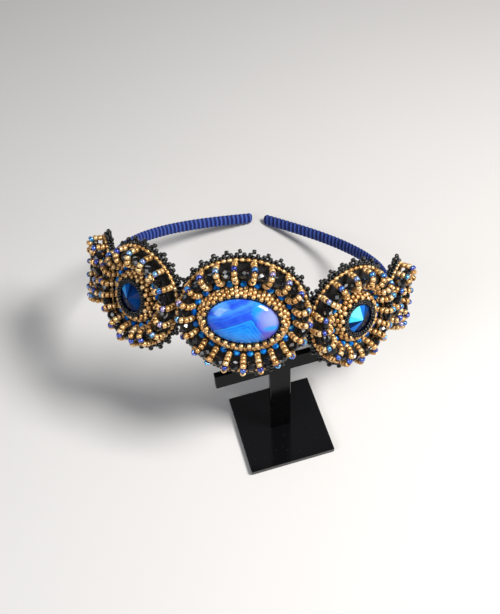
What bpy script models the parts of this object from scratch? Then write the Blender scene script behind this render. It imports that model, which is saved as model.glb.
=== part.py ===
"""Beaded headband with five medallions, on a T-shaped display stand.

Metres, +Z up. The origin is the middle of the underside of the stand's base,
and the headband's front faces -Y. The headband leans back: the lower edge of
the centre medallion sits on the stand's crossbar, and the two ends of the band
touch the table behind.
Every size below is in millimetres and becomes metres in one place, in_metres().
"""
import math

import bmesh
import bpy
import numpy as np
from mathutils import Matrix

OBJECT_NAME = "beaded_headband_on_stand"
MILLIMETRE = 0.001
GAP = 0.3

# Springy band wrapped in cord: half of its length, and its oval section.
BAND_HALF_LENGTH = 205.0
BAND_HEIGHT = 6.0
BAND_THICKNESS = 3.0
BAND_STATIONS = 34
BAND_SECTION_SIDES = 8
BAND_END_SHARES = ((0.0, 0.30), (0.8, 0.75), (2.0, 1.0))

# Bend of the band from its front middle to its end: share of the way, radius.
BEND_TABLE = (
    (0.00, 89.0),
    (0.25, 52.0),
    (0.50, 67.0),
    (0.75, 109.0),
    (1.00, 2500.0),
)

# How the headband lies: where the band's front middle is, measured from the
# middle of the stand and the table, and how much one side hangs lower.
FRONT_X = -13.9
FRONT_Y = 8.6
FRONT_HEIGHT = 82.0
SIDE_LEAN = math.radians(5.5)
END_CLEARANCE = 2.9

# Backing sheet behind the medallions, and the beaded edging round it.
BACKING_THICKNESS = 2.0
BACKING_MARGIN = 0.6
BACKING_STEP = 3.2
EDGING_WIDTH = 2.4
EDGING_THICKNESS = 1.5
EDGING_END_STEPS = 12
END_ANGLE = math.radians(14.0)

# The edging is pressed in where the centre medallion sits on the crossbar.
PRESSED_FROM = -9.5
PRESSED_TO = 4.5
PRESSED_WIDTH = 0.6

# Medallions, measured on the level FACE_LEVEL above the band's middle line:
# name, place along the band, raise, half width, half height, stone half width,
# stone half height, width of the bezel, number of spokes.
FACE_LEVEL = 5.0
MEDALLIONS = (
    ("center", 0.0, 0.7, 26.6, 24.0, 15.0, 10.0, 3.2, 21),
    ("left_inner", -47.8, 0.0, 20.8, 21.4, 7.0, 7.0, 3.6, 17),
    ("right_inner", 47.8, 0.0, 20.8, 21.4, 7.0, 7.0, 3.6, 17),
    ("left_outer", -83.0, 0.0, 13.7, 15.4, 4.5, 4.5, 2.9, 12),
    ("right_outer", 83.0, 0.0, 13.7, 15.4, 4.5, 4.5, 2.9, 12),
)

# Place of the first spoke, counted from the top as a share of the gap between two.
FIRST_SPOKES = {"center": 0.70, "left_inner": 0.95, "right_inner": 0.85}

# Cabochon: share of the half width, height above the backing.
CABOCHON_SIDES = 28
CABOCHON_TABLE = (
    (0.97, 0.3),
    (1.00, 0.8),
    (1.00, 1.8),
    (0.95, 3.6),
    (0.82, 5.3),
    (0.60, 6.5),
    (0.30, 7.2),
)
# Pointed round stone: share of the radius, height above the backing on a 14 mm stone.
ROUND_STONE_SIDES = 12
ROUND_STONE_TABLE = (
    (0.08, 0.3),
    (1.00, 3.3),
    (1.00, 3.9),
    (0.10, 6.7),
)
ROUND_STONE_RADIUS = 7.0

# Bezel section: share of the bezel's width from the stone outwards, height.
# The first and last rows stand on the backing, which curves away below them.
BEZEL_SIDES = 36
BEZEL_TABLE = (
    (0.10, 0.3),
    (0.10, 4.3),
    (0.42, 4.6),
    (1.00, 2.0),
    (1.00, 0.3),
)
BEZEL_FOOT_ROWS = (0, 4)

# Spoke cage: share of the way from the bezel to the outline, height of the
# middle of the wire above the backing. The first two rows and the last two rows
# are closed rings, and between them only the spokes run.
CAGE_CLEARANCE = 0.6
SPOKE_WIDTH = 2.2
CAGE_THICKNESS = 2.0
CAGE_TABLE = (
    (0.08, 1.3),
    (0.20, 1.3),
    (0.25, 4.6),
    (0.38, 6.9),
    (0.62, 7.4),
    (0.83, 6.4),
    (0.88, 3.8),
    (0.87, 1.3),
    (1.00, 1.3),
)

# String of black cut beads that runs round below the spokes, one in each gap.
STRING_SHARE = 0.56
STRING_HEIGHT = 5.2
STRING_SIDES = 8
BEAD_RADIUS = 2.0
BEAD_HALF_LENGTH = 2.0
THREAD_RADIUS = 0.5

# Display stand: square base with a T of thinner sheet. The crossbar's right end
# stops just behind the right inner medallion.
STAND_TURN = math.radians(18.0)
BASE_WIDTH = 40.0
BASE_THICKNESS = 3.0
TEE_THICKNESS = 2.5
POST_WIDTH = 9.3
CROSSBAR_LEFT = 28.0
CROSSBAR_RIGHT = 23.0
CROSSBAR_HEIGHT = 9.6
SHEET_BEVEL = 0.3

# Finishes from the photograph: colour, roughness, metallic value.
FINISHES = {
    "navy_cord": ((0.020, 0.035, 0.160), 0.75, 0.0),
    "black_leather": ((0.012, 0.012, 0.013), 0.65, 0.0),
    "black_glass": ((0.006, 0.006, 0.007), 0.12, 0.0),
    "gold_beads": ((0.560, 0.340, 0.120), 0.28, 0.85),
    "blue_agate": ((0.020, 0.110, 0.640), 0.10, 0.0),
    "blue_crystal": ((0.010, 0.090, 0.300), 0.05, 0.30),
    "black_acrylic": ((0.008, 0.008, 0.009), 0.08, 0.0),
}


def in_metres(points):
    """Turn millimetres into Blender's metres."""
    return np.asarray(points, dtype=float) * MILLIMETRE


class BandFrame:
    """The band's curve in space, and the places measured from it.

    A place is (along, up, out): the arc length along the band on the level
    FACE_LEVEL, the distance across the band, and the distance away from the head.
    """

    SAMPLES = 800

    def __init__(self):
        arc = np.linspace(0.0, BAND_HALF_LENGTH, self.SAMPLES)
        shares = np.array([row[0] for row in BEND_TABLE])
        bends = np.array([1.0 / row[1] for row in BEND_TABLE])
        bend = np.interp(arc / BAND_HALF_LENGTH, shares, bends)
        step = arc[1] - arc[0]
        self.arc = arc
        self.angle = self.running_sum(bend, step)
        self.x = self.running_sum(np.cos(self.angle), step)
        self.y = self.running_sum(np.sin(self.angle), step)
        self.face = arc + FACE_LEVEL * self.angle
        pitch = math.asin((FRONT_HEIGHT - END_CLEARANCE) / self.y[-1])
        tilt = Matrix.Rotation(-pitch, 3, "X") @ Matrix.Rotation(SIDE_LEAN, 3, "Y")
        self.tilt = np.array(tilt)
        self.front = np.array((FRONT_X, FRONT_Y, FRONT_HEIGHT))

    @staticmethod
    def running_sum(values, step):
        """Integral of the values by the trapezium rule, starting at zero."""
        middles = (values[1:] + values[:-1]) * 0.5 * step
        return np.concatenate(((0.0,), np.cumsum(middles)))

    def flat_points(self, arc, up, out):
        """Places in the band's own plane, from the arc length on the band."""
        side = np.where(arc < 0.0, -1.0, 1.0)
        length = np.abs(arc)
        angle = np.interp(length, self.arc, self.angle)
        x = side * (np.interp(length, self.arc, self.x) + out * np.sin(angle))
        y = np.interp(length, self.arc, self.y) - out * np.cos(angle)
        return np.stack(np.broadcast_arrays(x, y, up), axis=-1)

    def in_space(self, points):
        """Places in the band's plane, moved to where the band lies."""
        return self.front + points @ self.tilt.T

    def arc_of(self, along):
        """Arc length on the band of a place measured on the face level."""
        along = np.asarray(along, dtype=float)
        return np.sign(along) * np.interp(np.abs(along), self.face, self.arc)

    def place(self, along, up, out):
        """Places in space from (along, up, out)."""
        return self.in_space(self.flat_points(self.arc_of(along), up, out))

    def flat_axes(self, along):
        """Point on the band, direction along it and direction outwards, in its plane."""
        arc = self.arc_of(along)
        origin = self.flat_points(arc, 0.0, 0.0)
        outwards = self.flat_points(arc, 0.0, 1.0) - origin
        sideways = np.array((-outwards[1], outwards[0], 0.0))
        return origin, sideways, outwards

    def place_rigid(self, along, across, up, out):
        """Places beside one point of the band, on straight axes."""
        origin, sideways, outwards = self.flat_axes(along)
        across, up, out = np.broadcast_arrays(across, up, out)
        flat = origin + across[..., None] * sideways + out[..., None] * outwards
        flat[..., 2] = up
        return self.in_space(flat)

    def fall_away(self, along, across, level):
        """How far the bent sheet at a level drops below straight axes."""
        origin, sideways, outwards = self.flat_axes(along)
        reach = np.linspace(-30.0, 30.0, 121)
        sheet = self.flat_points(self.arc_of(along) + reach, 0.0, level) - origin
        order = np.argsort(sheet @ sideways)
        places = (sheet @ sideways)[order]
        drops = level - (sheet @ outwards)[order]
        return np.interp(across, places, drops)


def clear_scene():
    """Remove every object of the open file."""
    for item in list(bpy.data.objects):
        bpy.data.objects.remove(item, do_unlink=True)


def new_collection(name):
    """Collection linked to the scene."""
    collection = bpy.data.collections.new(name)
    bpy.context.scene.collection.children.link(collection)
    return collection


def new_material(name):
    """Principled material with one of the named finishes."""
    colour, roughness, metallic = FINISHES[name]
    material = bpy.data.materials.new(name)
    material.use_nodes = True
    shader = material.node_tree.nodes["Principled BSDF"]
    shader.inputs["Base Color"].default_value = (*colour, 1.0)
    shader.inputs["Roughness"].default_value = roughness
    shader.inputs["Metallic"].default_value = metallic
    return material


def solid_object(name, vertices, faces, material, collection):
    """Mesh object from points in millimetres, its origin at its middle."""
    points = in_metres(vertices).reshape(-1, 3)
    middle = (points.min(axis=0) + points.max(axis=0)) / 2.0
    mesh = bpy.data.meshes.new(name)
    mesh.from_pydata((points - middle).tolist(), [], faces)
    mesh.materials.append(material)
    turn_faces_outwards(mesh)
    item = bpy.data.objects.new(name, mesh)
    item.location = middle
    collection.objects.link(item)
    return item


def turn_faces_outwards(mesh):
    """Give every face of a closed mesh an outward normal."""
    shape = bmesh.new()
    shape.from_mesh(mesh)
    bmesh.ops.recalc_face_normals(shape, faces=shape.faces)
    shape.to_mesh(mesh)
    shape.free()


def wall_faces(rows, columns, close_rows=False, close_columns=False):
    """Quads between neighbouring points of a grid of rows and columns."""
    faces = []
    for row in range(rows if close_rows else rows - 1):
        for column in range(columns if close_columns else columns - 1):
            next_row = (row + 1) % rows
            next_column = (column + 1) % columns
            faces.append((
                row * columns + column,
                row * columns + next_column,
                next_row * columns + next_column,
                next_row * columns + column,
            ))
    return faces


def loft_faces(rows, columns):
    """Faces of a solid lofted through closed sections, with both ends filled."""
    last = (rows - 1) * columns
    ends = [tuple(range(columns)), tuple(range(last, last + columns))]
    return wall_faces(rows, columns, close_columns=True) + ends


def build_band(frame, collection):
    """Springy band as one swept oval with rounded ends, open at the back."""
    angles = np.linspace(0.0, 2.0 * math.pi, BAND_SECTION_SIDES, endpoint=False)
    angles = angles + math.pi / BAND_SECTION_SIDES
    inner = BAND_HALF_LENGTH - BAND_END_SHARES[-1][0]
    arcs = np.linspace(-inner, inner, 2 * BAND_STATIONS + 1)
    sizes = np.ones_like(arcs)
    for inset, share in reversed(BAND_END_SHARES[:-1]):
        end = BAND_HALF_LENGTH - inset
        arcs = np.concatenate(((-end,), arcs, (end,)))
        sizes = np.concatenate(((share,), sizes, (share,)))
    up = sizes[:, None] * BAND_HEIGHT / 2.0 * np.cos(angles)
    out = sizes[:, None] * BAND_THICKNESS / 2.0 * np.sin(angles)
    points = frame.in_space(frame.flat_points(arcs[:, None], up, out))
    faces = loft_faces(len(arcs), BAND_SECTION_SIDES)
    return solid_object("band", points, faces, new_material("navy_cord"), collection)


def outline(along, margin):
    """Lower and upper edge of the joined medallions, widened by a margin."""
    lower = np.zeros_like(along)
    upper = np.zeros_like(along)
    for _, middle, raised, half_width, half_height, *_ in MEDALLIONS:
        share = (along - middle) / (half_width + margin)
        reach = (half_height + margin) * np.sqrt(np.clip(1.0 - share ** 2, 0.0, None))
        inside = reach > 0.0
        upper = np.where(inside, np.maximum(upper, raised + reach), upper)
        lower = np.where(inside, np.minimum(lower, raised - reach), lower)
    return lower, upper


def outline_stations(margin):
    """Places along the band where the outline is worked out."""
    _, middle, _, half_width, *_ = MEDALLIONS[-1]
    reach = half_width + margin
    angles = np.linspace(math.pi / 2.0, END_ANGLE, 6)
    end = middle + reach * np.cos(angles)
    steps = int(round(middle / BACKING_STEP))
    half = np.concatenate((np.linspace(0.0, middle, steps, endpoint=False), end))
    return np.concatenate((-half[:0:-1], half))


def scalloped_sheet(frame, name, margin, inside, outside, material, collection):
    """Bent sheet whose edge follows the five medallions."""
    along = outline_stations(margin)
    lower, upper = outline(along, margin)
    up = np.stack((lower, upper, upper, lower), axis=-1)
    out = np.array((inside, inside, outside, outside))
    points = frame.place(along[:, None], up, out)
    return solid_object(name, points, loft_faces(len(along), 4), material, collection)


def backing_levels():
    """Inner and outer face of the backing, measured out from the band's middle."""
    inside = BAND_THICKNESS / 2.0 + GAP
    return inside, inside + BACKING_THICKNESS


def build_backing(frame, collection):
    """One sheet of leather that carries all five medallions."""
    inside, outside = backing_levels()
    material = new_material("black_leather")
    return scalloped_sheet(
        frame, "backing", BACKING_MARGIN, inside, outside, material, collection
    )


def edging_route():
    """Stations once round the edging: place along, outer end angle, upper or lower.

    Round each end of the row the angle leads; between the ends the place leads.
    """
    _, middle, *_ = MEDALLIONS[-1]
    steps = int(round(2.0 * middle / BACKING_STEP))
    across = np.linspace(-middle, middle, steps + 1)
    angles = np.linspace(math.pi / 2.0, -math.pi / 2.0, EDGING_END_STEPS + 1)
    return across, angles


def edging_edge(margin, lower_margins):
    """Points once round the joined medallions, at a distance from their outline."""
    _, middle, raised, half_width, half_height, *_ = MEDALLIONS[-1]
    across, angles = edging_route()
    _, upper = outline(across, margin)
    lower = outline_at(across, lower_margins)
    end_along = (half_width + margin) * np.cos(angles[1:-1])
    end_up = raised + (half_height + margin) * np.sin(angles[1:-1])
    along = np.concatenate((across, middle + end_along, across[::-1], -middle - end_along))
    up = np.concatenate((upper, end_up, lower[::-1], end_up[::-1]))
    return along, up


def outline_at(along, margins):
    """Lower edge of the joined medallions, with its own margin at each place."""
    edges = [outline(place, margin)[0] for place, margin in zip(along, margins)]
    return np.array(edges)


def build_edging(frame, collection):
    """Beaded edging as one strip round the backing, pressed in on the crossbar."""
    inside, outside = backing_levels()
    middle = (inside + outside) / 2.0
    low = middle - EDGING_THICKNESS / 2.0
    high = middle + EDGING_THICKNESS / 2.0
    inner = BACKING_MARGIN + GAP
    across, _ = edging_route()
    pressed = (across > PRESSED_FROM) & (across < PRESSED_TO)
    widths = np.where(pressed, PRESSED_WIDTH, EDGING_WIDTH)
    along_in, up_in = edging_edge(inner, np.full_like(across, inner))
    along_out, up_out = edging_edge(inner + EDGING_WIDTH, inner + widths)
    along = np.stack((along_in, along_out, along_out, along_in), axis=-1)
    up = np.stack((up_in, up_out, up_out, up_in), axis=-1)
    points = frame.place(along, up, np.array((low, low, high, high)))
    faces = wall_faces(len(along), 4, True, True)
    material = new_material("black_glass")
    return solid_object("picot_edging", points, faces, material, collection)


def stone_rows(table, half_width, half_height, sides, scale):
    """Rows of points of a stone that is an oval at every height."""
    angles = np.linspace(0.0, 2.0 * math.pi, sides, endpoint=False)
    share = np.array([row[0] for row in table])[:, None]
    height = np.array([row[1] for row in table])[:, None]
    across = share * half_width * np.cos(angles)
    up = share * half_height * np.sin(angles)
    lift = GAP + (height - GAP) * scale + np.zeros_like(across)
    return across, up, lift


def build_stone(frame, medallion, collection):
    """Oval cabochon in the centre, pointed round stones at the sides."""
    name, along, _, _, _, half_width, half_height, *_ = medallion
    _, face = backing_levels()
    if name == "center":
        title, table, sides, scale = "cabochon", CABOCHON_TABLE, CABOCHON_SIDES, 1.0
        finish = "blue_agate"
    else:
        title, table, sides = "stone_" + name, ROUND_STONE_TABLE, ROUND_STONE_SIDES
        scale = half_width / ROUND_STONE_RADIUS
        finish = "blue_crystal"
    across, up, lift = stone_rows(table, half_width, half_height, sides, scale)
    points = frame.place_rigid(along, across, up, face + lift)
    faces = loft_faces(len(table), sides)
    return solid_object(title, points, faces, new_material(finish), collection)


def build_bezel(frame, medallion, collection):
    """Ring of beadwork round a stone, its foot following the bent backing."""
    name, along, _, _, _, half_width, half_height, width, _ = medallion
    _, face = backing_levels()
    scale = min(1.0, half_width / ROUND_STONE_RADIUS)
    angles = np.linspace(0.0, 2.0 * math.pi, BEZEL_SIDES, endpoint=False)
    share = np.array([row[0] for row in BEZEL_TABLE])
    height = np.array([row[1] for row in BEZEL_TABLE])
    lift = GAP + (height - GAP) * scale
    across = (half_width + share * width) * np.cos(angles)[:, None]
    up = (half_height + share * width) * np.sin(angles)[:, None]
    lift = np.broadcast_to(lift, across.shape).copy()
    for row in BEZEL_FOOT_ROWS:
        lift[:, row] -= frame.fall_away(along, across[:, row], face)
    points = frame.place_rigid(along, across, up, face + lift)
    faces = wall_faces(BEZEL_SIDES, len(BEZEL_TABLE), True, True)
    material = new_material("gold_beads")
    return solid_object("bezel_" + name, points, faces, material, collection)


def oval_sizes(medallion, share):
    """Half width, half height and raise of the oval a share of the way out."""
    _, _, raised, outer_width, outer_height, stone_width, stone_height, width, _ = medallion
    inner_width = stone_width + width + CAGE_CLEARANCE
    inner_height = stone_height + width + CAGE_CLEARANCE
    share = np.asarray(share, dtype=float)
    return (
        inner_width + share * (outer_width - inner_width),
        inner_height + share * (outer_height - inner_height),
        raised * share,
    )


def even_angles(medallion, share, count, shift=0.0):
    """Oval angles whose points are evenly spaced, from the medallion's first spoke."""
    half_width, half_height, _ = oval_sizes(medallion, share)
    angles = np.linspace(0.0, 2.0 * math.pi, 721)
    speed = np.hypot(half_width * np.sin(angles), half_height * np.cos(angles))
    length = BandFrame.running_sum(speed, angles[1])
    first = FIRST_SPOKES.get(medallion[0], 0.0)
    wanted = (np.arange(count) + first + shift) / count * length[-1]
    start = np.interp(0.5 * math.pi, angles, length)
    return np.interp((wanted + start) % length[-1], length, angles)


def build_spokes(frame, medallion, collection):
    """Cage of bead spokes: a ring at the bezel, a ring at the edge, arches between."""
    name, along, *_, count = medallion
    _, face = backing_levels()
    angles = even_angles(medallion, 0.5, count)
    shares = np.array([row[0] for row in CAGE_TABLE])[:, None]
    heights = np.array([row[1] for row in CAGE_TABLE])[:, None]
    half_width, half_height, raised = oval_sizes(medallion, shares)
    across = half_width * np.cos(angles)
    up = raised + half_height * np.sin(angles)
    run_across = across[-1] - across[0]
    run_up = up[-1] - up[0]
    run = np.hypot(run_across, run_up)
    side = np.array((-0.5, 0.5)) * SPOKE_WIDTH
    across = across[:, :, None] - (run_up / run)[:, None] * side
    up = up[:, :, None] + (run_across / run)[:, None] * side
    rows, columns = len(CAGE_TABLE), 2 * count
    out = np.broadcast_to(face + heights, (rows, columns))
    points = frame.place(
        along + across.reshape(rows, columns), up.reshape(rows, columns), out
    )
    faces = []
    for face_index, quad in enumerate(wall_faces(rows, columns, close_columns=True)):
        row, column = divmod(face_index, columns)
        on_spoke = column % 2 == 0
        on_ring = row in (0, rows - 2)
        if on_spoke or on_ring:
            faces.append(quad)
    item = solid_object(
        "spokes_" + name, points, faces, new_material("gold_beads"), collection
    )
    shell = item.modifiers.new("wire", "SOLIDIFY")
    shell.thickness = CAGE_THICKNESS * MILLIMETRE
    shell.offset = 0.0
    return item


def build_string(frame, medallion, collection):
    """Closed string of cut beads: a thin thread that swells into each bead."""
    name, along, *_, count = medallion
    _, face = backing_levels()
    half_width, half_height, raised = oval_sizes(medallion, STRING_SHARE)
    bead_angles = even_angles(medallion, 0.5, count, shift=0.5)
    stops = np.array((-BEAD_HALF_LENGTH, 0.0, BEAD_HALF_LENGTH))
    radii = np.array((THREAD_RADIUS, BEAD_RADIUS, THREAD_RADIUS))
    speed = np.hypot(half_width * np.sin(bead_angles), half_height * np.cos(bead_angles))
    angles = (bead_angles[:, None] + stops / speed[:, None]).reshape(-1, 1)
    radius = np.tile(radii, count).reshape(-1, 1)
    across = half_width * np.cos(angles)
    up = raised + half_height * np.sin(angles)
    normal_across = half_height * np.cos(angles)
    normal_up = half_width * np.sin(angles)
    length = np.hypot(normal_across, normal_up)
    turn = np.linspace(0.0, 2.0 * math.pi, STRING_SIDES, endpoint=False)
    turn = turn + math.pi / STRING_SIDES
    sideways = radius * np.cos(turn)
    points = frame.place(
        along + across + normal_across / length * sideways,
        up + normal_up / length * sideways,
        face + STRING_HEIGHT + radius * np.sin(turn),
    )
    faces = wall_faces(len(angles), STRING_SIDES, True, True)
    material = new_material("black_glass")
    return solid_object("cut_beads_" + name, points, faces, material, collection)


def build_stand(bar_top, collection):
    """Square base, and a T whose foot stands on the base."""
    half_base = BASE_WIDTH / 2.0
    square = ((-half_base, 0.0), (half_base, 0.0),
              (half_base, BASE_THICKNESS), (-half_base, BASE_THICKNESS))
    foot = BASE_THICKNESS + GAP
    half_post = POST_WIDTH / 2.0
    bar_low = bar_top - CROSSBAR_HEIGHT
    tee = (
        (-half_post, foot), (half_post, foot),
        (half_post, bar_low), (CROSSBAR_RIGHT, bar_low),
        (CROSSBAR_RIGHT, bar_top), (-CROSSBAR_LEFT, bar_top),
        (-CROSSBAR_LEFT, bar_low), (-half_post, bar_low),
    )
    stand_sheet("stand_base", square, BASE_WIDTH, collection)
    stand_sheet("stand_tee", tee, TEE_THICKNESS, collection)


def stand_sheet(name, profile, depth, collection):
    """Upright profile of (sideways, height) given a depth, turned with the stand."""
    corners = np.array(profile)
    back = np.insert(corners, 1, depth / 2.0, axis=1)
    front = np.insert(corners, 1, -depth / 2.0, axis=1)
    points = np.concatenate((back, front))
    turn = np.array(Matrix.Rotation(STAND_TURN, 3, "Z"))
    points = points @ turn.T
    faces = loft_faces(2, len(profile))
    item = solid_object(name, points, faces, new_material("black_acrylic"), collection)
    bevel = item.modifiers.new("polished_edges", "BEVEL")
    bevel.width = SHEET_BEVEL * MILLIMETRE
    bevel.segments = 1
    return item


def crossbar_top(frame):
    """Height of the crossbar's top, just under the lowest edge of the backing."""
    _, middle, _, half_width, *_ = MEDALLIONS[0]
    along = middle + np.linspace(-half_width, half_width, 81) * 0.8
    lower, _ = outline(along, BACKING_MARGIN)
    edge = frame.place(along[:, None], lower[:, None], np.array(backing_levels()))
    return float(edge[..., 2].min()) - GAP


def main():
    """Build the headband and the stand."""
    clear_scene()
    collection = new_collection(OBJECT_NAME)
    frame = BandFrame()
    bar_top = crossbar_top(frame)
    build_band(frame, collection)
    build_backing(frame, collection)
    build_edging(frame, collection)
    for medallion in MEDALLIONS:
        build_stone(frame, medallion, collection)
        build_bezel(frame, medallion, collection)
        build_spokes(frame, medallion, collection)
        build_string(frame, medallion, collection)
    build_stand(bar_top, collection)


if __name__ == "__main__":
    main()
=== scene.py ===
"""Beaded headband on its stand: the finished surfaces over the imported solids.

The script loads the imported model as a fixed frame, builds the single beads, the
wrapped cord and the polished stones round it, and sets up a pale studio with one
camera. Sizes are millimetres and become metres in one place, in_metres(). Places on
the headband are (along, up, out): the arc length along the band on the level of the
medallions' faces, the distance across the band, and the distance away from the head.
"""
import logging
import math
from dataclasses import dataclass, field
from enum import Enum

import bpy
import numpy as np
from mathutils import Matrix, Vector


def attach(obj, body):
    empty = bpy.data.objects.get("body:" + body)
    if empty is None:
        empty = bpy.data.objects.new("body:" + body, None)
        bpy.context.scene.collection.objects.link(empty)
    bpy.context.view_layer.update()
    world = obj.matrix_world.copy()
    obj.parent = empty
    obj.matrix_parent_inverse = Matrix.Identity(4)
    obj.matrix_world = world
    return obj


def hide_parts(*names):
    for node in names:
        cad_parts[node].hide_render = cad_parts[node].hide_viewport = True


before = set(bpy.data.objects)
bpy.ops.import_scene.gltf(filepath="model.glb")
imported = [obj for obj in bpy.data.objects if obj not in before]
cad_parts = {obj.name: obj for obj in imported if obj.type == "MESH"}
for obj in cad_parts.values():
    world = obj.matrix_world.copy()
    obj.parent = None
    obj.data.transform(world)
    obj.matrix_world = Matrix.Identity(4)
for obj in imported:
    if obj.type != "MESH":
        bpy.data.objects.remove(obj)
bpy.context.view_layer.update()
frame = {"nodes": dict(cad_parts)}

LOG = logging.getLogger("beaded_headband")
MILLIMETRE = 0.001
BODY = "root"
UP = np.array((0.0, 0.0, 1.0))
ACROSS = np.array((1.0, 0.0, 0.0))
FULL_TURN = 2.0 * math.pi
THREAD_SIDES = 5
THREAD_TONE = 0.5
NEVER_ZERO = 1e-6
NEARLY_UPRIGHT = 0.9
OVAL_SAMPLES = 721


class Slot(Enum):
    """Material slots of the record."""

    CORD = "navy_cord"
    LEATHER = "black_leather"
    BLACK = "black_glass"
    GOLD = "gold_beads"
    AGATE = "blue_agate"
    CRYSTAL = "blue_crystal"
    ACRYLIC = "black_acrylic"


class Shading(Enum):
    """How the faces of a piece meet."""

    SMOOTH = True
    FACETED = False


def in_metres(points: np.ndarray) -> np.ndarray:
    """Millimetres as Blender's metres."""
    return np.asarray(points, dtype=float) * MILLIMETRE


def unit(vectors: np.ndarray) -> np.ndarray:
    """Vectors of length one, along the last axis."""
    return vectors / np.linalg.norm(vectors, axis=-1, keepdims=True)


def running_sum(values: np.ndarray, step: float) -> np.ndarray:
    """Integral of the values by the trapezium rule, starting at zero."""
    middles = (values[1:] + values[:-1]) * 0.5 * step
    return np.concatenate(((0.0,), np.cumsum(middles)))


def around(count: int) -> np.ndarray:
    """Angles evenly spaced round a full turn."""
    return np.linspace(0.0, FULL_TURN, count, endpoint=False)


def path_length(path: np.ndarray) -> np.ndarray:
    """Length along a path up to each of its points."""
    steps = np.linalg.norm(np.diff(path, axis=0), axis=-1)
    return np.concatenate(((0.0,), np.cumsum(steps)))


def along_path(path: np.ndarray, length: np.ndarray, at: np.ndarray) -> np.ndarray:
    """Points of a path at given lengths along it."""
    return np.stack([np.interp(at, length, column) for column in path.T], axis=-1)


def smooth_rows(table: tuple, steps: int) -> np.ndarray:
    """Rows of a short table joined by a smooth curve.

    Each span is a cubic whose slope at a row is half the step between the row's
    two neighbours.

    Args:
        table: rows of numbers.
        steps: points in each span.

    Returns:
        Array of points, as many columns as the table.
    """
    rows = np.array(table, dtype=float)
    slopes = np.gradient(rows, axis=0)
    t = np.linspace(0.0, 1.0, steps, endpoint=False)[None, :, None]
    start, end = rows[:-1, None], rows[1:, None]
    leave, arrive = slopes[:-1, None], slopes[1:, None]
    curve = (
        (2 * t ** 3 - 3 * t ** 2 + 1) * start
        + (t ** 3 - 2 * t ** 2 + t) * leave
        + (3 * t ** 2 - 2 * t ** 3) * end
        + (t ** 3 - t ** 2) * arrive
    )
    return np.concatenate((curve.reshape(-1, rows.shape[1]), rows[-1:]))


def end_faces(rows: int, columns: int) -> np.ndarray:
    """Faces that fill the first and the last ring of a grid."""
    ring = np.arange(columns)
    return np.stack((ring[::-1], (rows - 1) * columns + ring))


def grid_faces(rows: int, columns: int, close_rows: bool, close_columns: bool) -> np.ndarray:
    """Quads between neighbouring points of a grid, row by row.

    Args:
        rows: number of rows.
        columns: number of points in a row.
        close_rows: whether the last row meets the first.
        close_columns: whether each row is a ring.

    Returns:
        Array of point numbers, four to a face.
    """
    row = np.arange(rows if close_rows else rows - 1)[:, None]
    column = np.arange(columns if close_columns else columns - 1)[None, :]
    next_row = (row + 1) % rows
    next_column = (column + 1) % columns
    corners = (
        row * columns + column,
        row * columns + next_column,
        next_row * columns + next_column,
        next_row * columns + column,
    )
    return np.stack(np.broadcast_arrays(*corners), axis=-1).reshape(-1, 4)


def fan_faces(ring: np.ndarray, tip: int) -> np.ndarray:
    """Triangles that close a ring of points to a tip."""
    following = np.roll(ring, -1)
    return np.stack((ring, following, np.full_like(ring, tip)), axis=-1)


@dataclass
class Surface:
    """Points in millimetres, faces of one size, and numbers held at the points."""

    points: np.ndarray
    faces: list
    tones: np.ndarray | None = None
    flat_map: np.ndarray | None = None

    def turned_outwards(self) -> list:
        """Faces in the order that gives the closed surface a positive volume."""
        middle = self.points.mean(axis=0)
        volume = 0.0
        for block in self.faces:
            corners = self.points[block] - middle
            for second in range(1, block.shape[1] - 1):
                cross = np.cross(corners[:, second], corners[:, second + 1])
                volume += np.einsum("ij,ij->", corners[:, 0], cross)
        return self.faces if volume > 0.0 else [block[:, ::-1] for block in self.faces]

    def piece(self, name: str, material: bpy.types.Material, slot: Slot,
              shading: Shading = Shading.SMOOTH, replaces: tuple = ()) -> bpy.types.Object:
        """Make the surface a piece of the headband.

        Args:
            name: name of the piece.
            material: its finish.
            slot: the record's slot that it takes its finish from; not used.
            shading: smooth or faceted.
            replaces: solids of the frame that it stands for.

        Returns:
            The object, riding on the root body.
        """
        blocks = self.turned_outwards()
        mesh = bpy.data.meshes.new(name)
        counts = np.concatenate([np.full(len(block), block.shape[1]) for block in blocks])
        corners = np.concatenate([block.reshape(-1) for block in blocks])
        mesh.vertices.add(len(self.points))
        mesh.vertices.foreach_set("co", in_metres(self.points).astype(np.float32).ravel())
        mesh.loops.add(len(corners))
        mesh.loops.foreach_set("vertex_index", corners.astype(np.int32))
        mesh.polygons.add(len(counts))
        mesh.polygons.foreach_set("loop_start", (np.cumsum(counts) - counts).astype(np.int32))
        mesh.update(calc_edges=True)
        mesh.polygons.foreach_set("use_smooth", np.full(len(counts), shading.value))
        if self.tones is not None:
            tone = mesh.attributes.new("tone", "FLOAT", "POINT")
            tone.data.foreach_set("value", self.tones.astype(np.float32))
        if self.flat_map is not None:
            layer = mesh.uv_layers.new(name="flat_map")
            layer.data.foreach_set("uv", self.flat_map[corners].astype(np.float32).ravel())
        mesh.materials.append(material)
        mesh.validate()
        item = bpy.data.objects.new(name, mesh)
        bpy.context.scene.collection.objects.link(item)
        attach(item, BODY)
        if replaces:
            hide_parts(*replaces)
        LOG.info("%s: %d faces", name, len(counts))
        return item


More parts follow.
